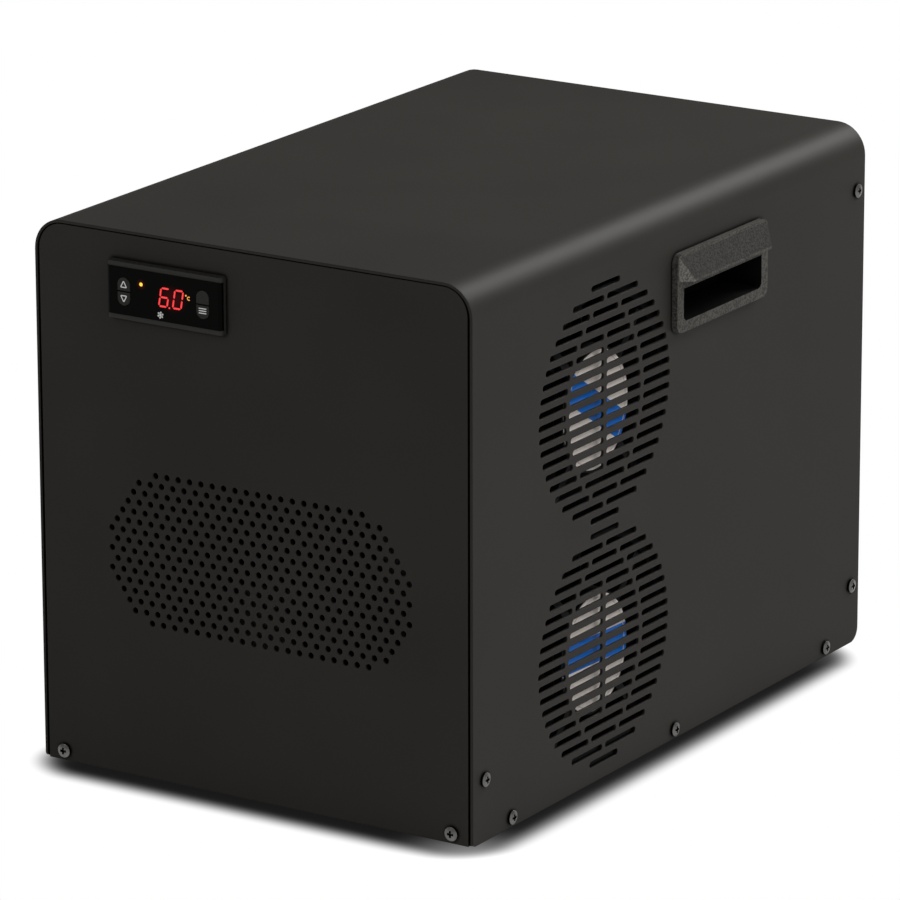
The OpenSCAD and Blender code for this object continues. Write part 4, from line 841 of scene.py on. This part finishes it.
@dataclass
class Controller:
    """The temperature controller: its case, window, keys, lit figures and signs."""

    figure_width: float = 6.2 * MM
    figure_height: float = 10.9 * MM
    figure_pitch: float = 8.85 * MM
    figure_left: float = -3.5 * MM
    figure_rise: float = 0.3 * MM
    stroke: float = 1.0 * MM
    slit: float = 0.28 * MM
    slant: float = math.tan(math.radians(9.5))
    point_gap: float = 1.0 * MM
    point_share: float = 0.54
    lamp_at: Spot = (-14.3 * MM, 5.3 * MM)
    lamp_radius: float = 1.05 * MM
    degree_at: Spot = (14.35 * MM, 3.3 * MM)
    degree_radius: float = 0.5 * MM
    letter_at: Spot = (16.2 * MM, 1.95 * MM)
    letter_radii: Spot = (1.1 * MM, 0.6 * MM)
    letter_gap: float = math.radians(50)
    flake_at: Spot = (-2.1 * MM, -9.6 * MM)
    flake_arm: float = 2.0 * MM
    flake_fork: Spot = (0.55, 0.7 * MM)
    flake_widths: Spot = (0.42 * MM, 0.36 * MM)
    flake_turn: float = math.radians(20)
    flake_lean: float = math.radians(55)
    arrow: tuple[Spot, ...] = ((-1.9 * MM, -1.7 * MM), (1.9 * MM, -1.7 * MM), (0.0, 1.7 * MM))
    arrow_stroke: Spot = (0.55 * MM, 0.2 * MM)
    bar_half: float = 2.4 * MM
    bar_rises: Triple = (-0.55 * MM, 0.7 * MM, 1.95 * MM)
    bar_width: float = 0.5 * MM

    def __post_init__(self) -> None:
        """Reads the window's place and size from the frame."""
        self.middle = middle_of("controller_window")
        self.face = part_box("controller_window")[0].y

    def at(self, x: float, z: float) -> Spot:
        """X and Z in the frame of a place given from the window's middle."""
        return self.middle[0] + x, self.middle[1] + z

    def build(self) -> None:
        """Dresses the nodes and adds the figures and signs."""
        figures_middle = self.at(self.figure_left + self.figure_pitch, 0.0)
        window = DisplayWindow(figures=figures_middle, lamp=self.at(*self.lamp_at))
        dress(window.build(), "controller_window")
        dress_all({Finish.CASE: "controller_case controller_clips",
                   Finish.KEY: "key_up key_down key_plain key_set"})
        self.figures()
        self.signs()
        self.key_signs()

    def figures(self) -> None:
        """Adds a 6, a point and a 0. A bar's ends are given as shares of the figure's width and height."""
        corners = {"a": ((0, 1), (1, 1)), "b": ((1, 1), (1, 0.5)), "c": ((1, 0.5), (1, 0)),
                   "d": ((0, 0), (1, 0)), "e": ((0, 0), (0, 0.5)), "f": ((0, 0.5), (0, 1)),
                   "g": ((0, 0.5), (1, 0.5))}
        lit = Print(self.face)
        width, height = self.figure_width - self.stroke, self.figure_height - self.stroke
        for number, bars in enumerate(("acdefg", "abcdef")):
            left = self.figure_left + number * self.figure_pitch + self.stroke / 2
            for bar in bars:
                ends = []
                for share_x, share_z in corners[bar]:
                    lean = share_z * height * self.slant
                    rise = (share_z - 0.5) * height + self.figure_rise
                    ends.append(np.array(self.at(left + share_x * width + lean, rise)))
                short = (ends[1] - ends[0]) / np.linalg.norm(ends[1] - ends[0]) * self.slit
                lit.bar(ends[0] + short, ends[1] - short, self.stroke, self.stroke / 2)
        point_x = self.figure_left + self.figure_width + self.point_gap
        lit.disc(self.at(point_x, self.stroke / 2 - self.figure_height / 2), self.stroke * self.point_share)
        lit.piece("figures", Finish.RED)

    def signs(self) -> None:
        """Adds the amber lamp, the degree and C signs, and a snowflake of six forked arms."""
        lamp = Print(self.face)
        lamp.disc(self.at(*self.lamp_at), self.lamp_radius)
        lamp.piece("lamp", Finish.AMBER)
        degrees = Print(self.face)
        degrees.disc(self.at(*self.degree_at), self.degree_radius)
        gap = self.letter_gap
        degrees.disc(self.at(*self.letter_at), *self.letter_radii, gap, FULL_TURN - gap)
        degrees.piece("degree_signs", Finish.DEGREES)
        white = Print(self.face)
        middle = np.array(self.at(*self.flake_at))
        share, tick = self.flake_fork
        for angle in (self.flake_turn + turn * FULL_TURN / 6 for turn in range(6)):
            arm = np.array([math.cos(angle), math.sin(angle)]) * self.flake_arm
            white.bar(middle, middle + arm, self.flake_widths[0])
            fork = middle + arm * share
            for lean in (angle - self.flake_lean, angle + self.flake_lean):
                twig = np.array([math.cos(lean), math.sin(lean)]) * tick
                white.bar(fork, fork + twig, self.flake_widths[1])
        white.piece("snowflake", Finish.WHITE)

    def key_signs(self) -> None:
        """Adds a triangle to each of the two arrow keys and three short bars to the lower right key."""
        for node, body, up in (("key_up", "up_key", 1), ("key_down", "down_key", -1)):
            middle = np.array(middle_of(node))
            corners = [middle + np.array([x, up * z]) for x, z in self.arrow]
            sign = Print(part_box(node)[0].y)
            for a, b in zip(corners, corners[1:] + corners[:1]):
                sign.bar(a, b, *self.arrow_stroke)
            sign.piece(f"{node}_sign", Finish.WHITE, body, "key_plastic")
        x, z = middle_of("key_set")
        sign = Print(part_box("key_set")[0].y)
        for rise in self.bar_rises:
            sign.bar((x - self.bar_half, z + rise), (x + self.bar_half, z + rise), self.bar_width)
        sign.piece("key_set_sign", Finish.WHITE, "set_key", "key_plastic")


@dataclass
class FanPair:
    """The two axial fans behind the side vents. A film's band is its angle, offset and half width."""

    upper_band: Triple = (math.radians(-32), 1.5 * MM, 7.8 * MM)
    lower_band: Triple = (math.radians(-2), 2.0 * MM, 8.0 * MM)

    def build(self) -> None:
        """Dresses the fans' nodes."""
        for level, (angle, offset, half) in (("upper", self.upper_band), ("lower", self.lower_band)):
            label = f"{level}_fan_label"
            disc = PrintedDisc(f"{level}_fan_film", middle_of(label, "y"), angle, offset, half)
            dress(disc.build(), label)
            dress_all({Finish.FAN: f"{level}_fan_frame {level}_fan_impeller",
                       Finish.ROTOR: f"{level}_fan_rotor"})
        dress_all({Finish.COPPER: "fan_stators", Finish.SCREW: "fan_screws"})
        log.info("fans: two")


@dataclass
class WaterPort:
    """One water port: a closed surface round Y, with a hexagon flange and a real pipe thread."""

    node: str
    flange: Range = (2 * MM, 8 * MM)
    across_flats: float = 34 * MM
    thread_radius: float = 13.2 * MM
    thread_pitch: float = 1.814 * MM
    thread_depth: float = 1.1 * MM
    bore: float = 8 * MM
    tail_radius: float = 10 * MM
    shank_end: float = -14.5 * MM
    panel_y: float = 196.55 * MM
    chamfer: float = 0.8 * MM
    bore_chamfer: float = 0.5 * MM
    barb_pitch: float = 3.5 * MM
    barb: tuple[Spot, ...] = ((0.0, 0.0), (0.3 * MM, 0.5 * MM), (3.2 * MM, 0.0))
    barb_margin: float = 3 * MM
    thread_gap: float = 1.2 * MM
    thread_taper: float = 0.3 * MM
    rows_per_turn: int = 8
    flank: Range = (0.35, 3.2)
    corner_share: float = 0.565
    columns: int = 144

    def profile(self) -> list[tuple[float, float, str]]:
        """The outline from the tail's end, outside, to the thread's end and back inside the bore.

        Returns:
            Distance behind the panel, radius, and the kind of each row: round, hexagon or thread.
        """
        low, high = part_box(self.node)
        start, stop = low.y - self.panel_y, high.y - self.panel_y
        near, far = self.flange
        flat, tail, edge, lip = self.across_flats / 2, self.tail_radius, self.chamfer, self.bore_chamfer
        root = self.thread_radius - self.thread_depth
        first, last = start + self.barb_margin, self.shank_end - self.barb_margin
        barbs = [(y + along, tail - drop) for y in np.arange(first, last, self.barb_pitch)
                 for along, drop in self.barb]
        shank = [(start, tail - edge), (start + edge, tail), *barbs, (self.shank_end, tail),
                 (self.shank_end, self.thread_radius), (near, self.thread_radius)]
        hexagon = [(near, flat - edge), (near + edge, flat), (far - edge, flat), (far, flat - edge)]
        turns = np.arange(far + self.thread_gap, stop - edge, self.thread_pitch / self.rows_per_turn)
        inside = [(stop, root - self.thread_taper), (stop, self.bore + lip), (stop - lip, self.bore),
                  (start + lip, self.bore), (start, self.bore + lip)]
        parts = (("round", shank), ("hexagon", hexagon), ("round", [(far, root)]),
                 ("thread", [(y, self.thread_radius) for y in turns]), ("round", inside))
        return [(y, radius, kind) for kind, rows in parts for y, radius in rows]

    def radius(self, row: tuple[float, float, str], angles: np.ndarray) -> np.ndarray:
        """The radius of one row at each angle.

        Args:
            row: a row of the profile.
            angles: the angles.

        Returns:
            The radii.
        """
        y, radius, kind = row
        if kind == "hexagon":
            corner = self.across_flats * self.corner_share
            return np.minimum(radius / np.cos((angles % (math.pi / 3)) - math.pi / 6), corner)
        if kind == "thread":
            turn = (y / self.thread_pitch + angles / FULL_TURN) % 1.0
            floor, slope = self.flank
            ridge = np.clip(np.abs(turn - 0.5) * slope - floor, 0.0, 1.0)
            return radius - self.thread_depth * (1.0 - ridge)
        return np.full(len(angles), radius)

    def build(self, material: Material) -> None:
        """Adds the port in place of its CAD node.

        Args:
            material: its material.
        """
        middle_x, middle_z = middle_of(self.node)
        angles = np.linspace(0.0, FULL_TURN, self.columns, endpoint=False)
        rows = self.profile()
        points = []
        for row in rows:
            radii = self.radius(row, angles)
            along = np.full(self.columns, self.panel_y + row[0])
            points.append(np.stack([
                middle_x + radii * np.cos(angles), along, middle_z + radii * np.sin(angles)], axis=1))
        faces = wrap_grid(len(rows), self.columns)
        piece = mesh_piece(f"{self.node}_threaded", np.vstack(points), faces, material, smooth=True)
        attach(piece, "housing")
        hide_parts(self.node)
        log.info("%s: %d faces", piece.name, len(piece.data.polygons))


@dataclass
class Works:
    """What stands inside the housing: the refrigerant circuit and the water circuit's inner end."""

    copper: str = "filter_drier discharge_pipe liquid_pipe capillary_tube suction_pipe"
    mouldings: str = "compressor_terminal_cover exchanger_barrel exchanger_caps mains_inlet"

    def build(self) -> None:
        """Dresses the inner nodes and adds the water ports."""
        dress_all({
            Finish.COPPER: self.copper, Finish.MOULDING: self.mouldings, Finish.FINS: "condenser_fins",
            Finish.ZINC: "exchanger_bracket", Finish.SHELL: "compressor_shell compressor_plate",
            Finish.DARK_ZINC: "condenser_end_plates", Finish.LACQUERED: "condenser_tubes",
            Finish.RUBBER: "compressor_grommets water_hoses port_seals",
            Finish.ROTOR: "compressor_studs hose_clamps", Finish.CAN: "run_capacitor",
            Finish.PINS: "mains_pins", Finish.TURNED: "port_nuts"})
        for node in ("water_inlet_port", "water_outlet_port"):
            WaterPort(node).build(Finish.TURNED.material())
        log.info("works: %s", self.copper)


# Studio

@dataclass
class Lamp:
    """A soft rectangular lamp that looks at a point on the object."""

    name: str
    place: Triple
    target: Triple
    width: float
    height: float
    power: float

    def build(self) -> None:
        """Adds the lamp."""
        data = bpy.data.lights.new(self.name, "AREA")
        data.shape = "RECTANGLE"
        data.size, data.size_y = self.width, self.height
        data.energy = self.power
        lamp = bpy.data.objects.new(self.name, data)
        lamp.location = self.place
        lamp.rotation_mode = "QUATERNION"
        aim = Vector(self.target) - Vector(self.place)
        lamp.rotation_quaternion = aim.to_track_quat("-Z", "Y")
        bpy.context.scene.collection.objects.link(lamp)


@dataclass
class Studio:
    """The camera, the floor, the lamps and the white surround."""

    azimuth: float = 0.568634
    elevation: float = 0.288643
    roll: float = -0.0024372
    distance: float = 3.54771
    aim: Triple = (-0.004274, -0.014915, 0.151859)
    lens: float = 257.032
    sensor: float = 36.0
    clip: Range = (0.1, 30.0)
    floor_reach: float = 20.0
    floor_colour: float = 0.90
    floor_cloud: float = 0.4
    floor_mottle: float = 0.01
    # The fields below shape the floor's painted contact shadow and the painted light at two of its corners.
    painted_shadow_colour: float = 0.04
    painted_shadow_band: Range = (-2 * MM, 28 * MM)
    footprint_middle: Spot = (-5.25 * MM, -9.25 * MM)
    footprint_half: Spot = (144.75 * MM, 205.8 * MM)
    footprint_corner: float = 30 * MM
    contact: Range = (-11.5 * MM, 12.8 * MM)
    darkest: float = 0.0095
    glows: tuple[tuple[float, float, float, float], ...] = (
        (137.5 * MM, -215.4 * MM, 70 * MM, 0.30), (137.5 * MM, 196.5 * MM, 60 * MM, 0.08))
    overhead: float = 0.36
    horizon: float = 0.17
    sky_heights: Range = (0.1, 0.8)
    lamps: tuple[Lamp, ...] = (
        Lamp("side_lamp", (2.2, -0.4, 1.9), (0.1, 0.0, 0.15), 1.6, 1.6, 25.0),
        Lamp("top_lamp", (0.5, 0.7, 2.6), (0.0, 0.0, 0.2), 2.4, 2.4, 11.0),
        Lamp("front_lamp", (-0.9, -2.2, 1.9), (0.0, -0.2, 0.15), 1.6, 1.4, 17.0),
        Lamp("rim_lamp", (0.67, 1.87, 1.68), (0.1, 0.0, 0.3), 1.2, 1.1, 66.0))

    def build(self) -> None:
        """Sets up the whole studio."""
        self.camera()
        self.floor()
        self.world()
        for lamp in self.lamps:
            lamp.build()
        bpy.context.scene.view_settings.view_transform = "Standard"

    def camera(self) -> None:
        """Adds the camera, which looks at the aim from the azimuth, elevation and distance given."""
        a, e = self.azimuth, self.elevation
        back = Vector((math.sin(a) * math.cos(e), -math.cos(a) * math.cos(e), math.sin(e)))
        right = Vector((math.cos(a), math.sin(a), 0.0))
        up = back.cross(right)
        c, s = math.cos(self.roll), math.sin(self.roll)
        columns = (right * c + up * s, up * c - right * s, back)
        data = bpy.data.cameras.new("camera")
        data.lens, data.sensor_width = self.lens, self.sensor
        data.clip_start, data.clip_end = self.clip
        camera = bpy.data.objects.new("camera", data)
        camera.rotation_mode = "QUATERNION"
        camera.rotation_quaternion = Matrix(columns).transposed().to_quaternion()
        camera.location = Vector(self.aim) + back * self.distance
        bpy.context.scene.collection.objects.link(camera)
        bpy.context.scene.camera = camera

    def floor(self) -> None:
        """Adds the pale floor.

        Seen directly, in a mirror or through glass it is white away from the object. Near the footprint, a
        rectangle with rounded corners, a painted contact shadow takes over: the white fades out with the
        distance from it, and the floor's own matte colour, lit and shaded by the lamps, is painted dark round
        and under the object. The two corners that face the side lamp get painted light and are a little
        paler.
        """
        bench = Bench("pale_floor")
        x, y, _ = bench.axes(bench.place())
        corner = self.footprint_corner
        past_x, past_y = ((axis - middle).size() - (half - corner) for axis, middle, half in
                          zip((x, y), self.footprint_middle, self.footprint_half))
        outside = past_x.most(0.0).length(past_y.most(0.0))
        apart = outside + past_x.most(past_y).least(0.0) - corner
        cloud = bench.noise(self.floor_cloud, detail=2.0)
        lit = bench.blend(cloud, (self.floor_colour,) * 3, (self.floor_colour + self.floor_mottle,) * 3)
        # Painted shadow: the matte colour goes dark near and under the object.
        colour = bench.blend(apart.step(*self.painted_shadow_band), (self.painted_shadow_colour,) * 3, lit)
        matte = bench.node("ShaderNodeBsdfDiffuse", inputs={"Color": colour})
        white = bench.node("ShaderNodeEmission", inputs={"Color": WHITE, "Strength": 1.0})
        # Painted shadow edge: the white's share grows with the distance from the footprint, and darkest is
        # the painted light left under the object.
        ramp = apart.step(*self.contact)
        pale = ramp * ramp + self.darkest
        # Painted light: the two corners that face the side lamp are made paler.
        for glow_x, glow_y, glow_reach, amount in self.glows:
            near = (x - glow_x).length(y - glow_y).step(glow_reach, 0.0)
            pale = pale + near * near * amount
        camera, glossy, through = (bench.node("ShaderNodeLightPath", output=f"Is {kind} Ray")
                                   for kind in ("Camera", "Glossy", "Transmission"))
        share = camera.most(glossy).most(through) * pale.least(1.0)
        bench.node_out(bench.node("ShaderNodeMixShader", inputs={0: share, 1: matte, 2: white}))
        signs = np.array([[-1, -1, 0], [1, -1, 0], [1, 1, 0], [-1, 1, 0]], float)
        floor = mesh_piece("floor", signs * self.floor_reach, np.array([[0, 1, 2, 3]]), bench.material)

    def world(self) -> None:
        """Makes the surround: a plain soft grey, paler overhead than at the horizon."""
        world = bpy.data.worlds.new("surround")
        bpy.context.scene.world = world
        bench = Bench("surround", world)
        _, _, height = bench.axes(bench.node("ShaderNodeTexCoord", output="Generated"))
        level = height.step(*self.sky_heights) * (self.overhead - self.horizon) + self.horizon
        back = bench.node("ShaderNodeBackground", inputs={"Color": WHITE, "Strength": level})
        bench.node_out(back, "ShaderNodeOutputWorld")


def main() -> None:
    """Builds the sub-assemblies and the studio."""
    for part in (Housing(), Controller(), FanPair(), Works(), Studio()):
        part.build()


if __name__ == "__main__":
    main()
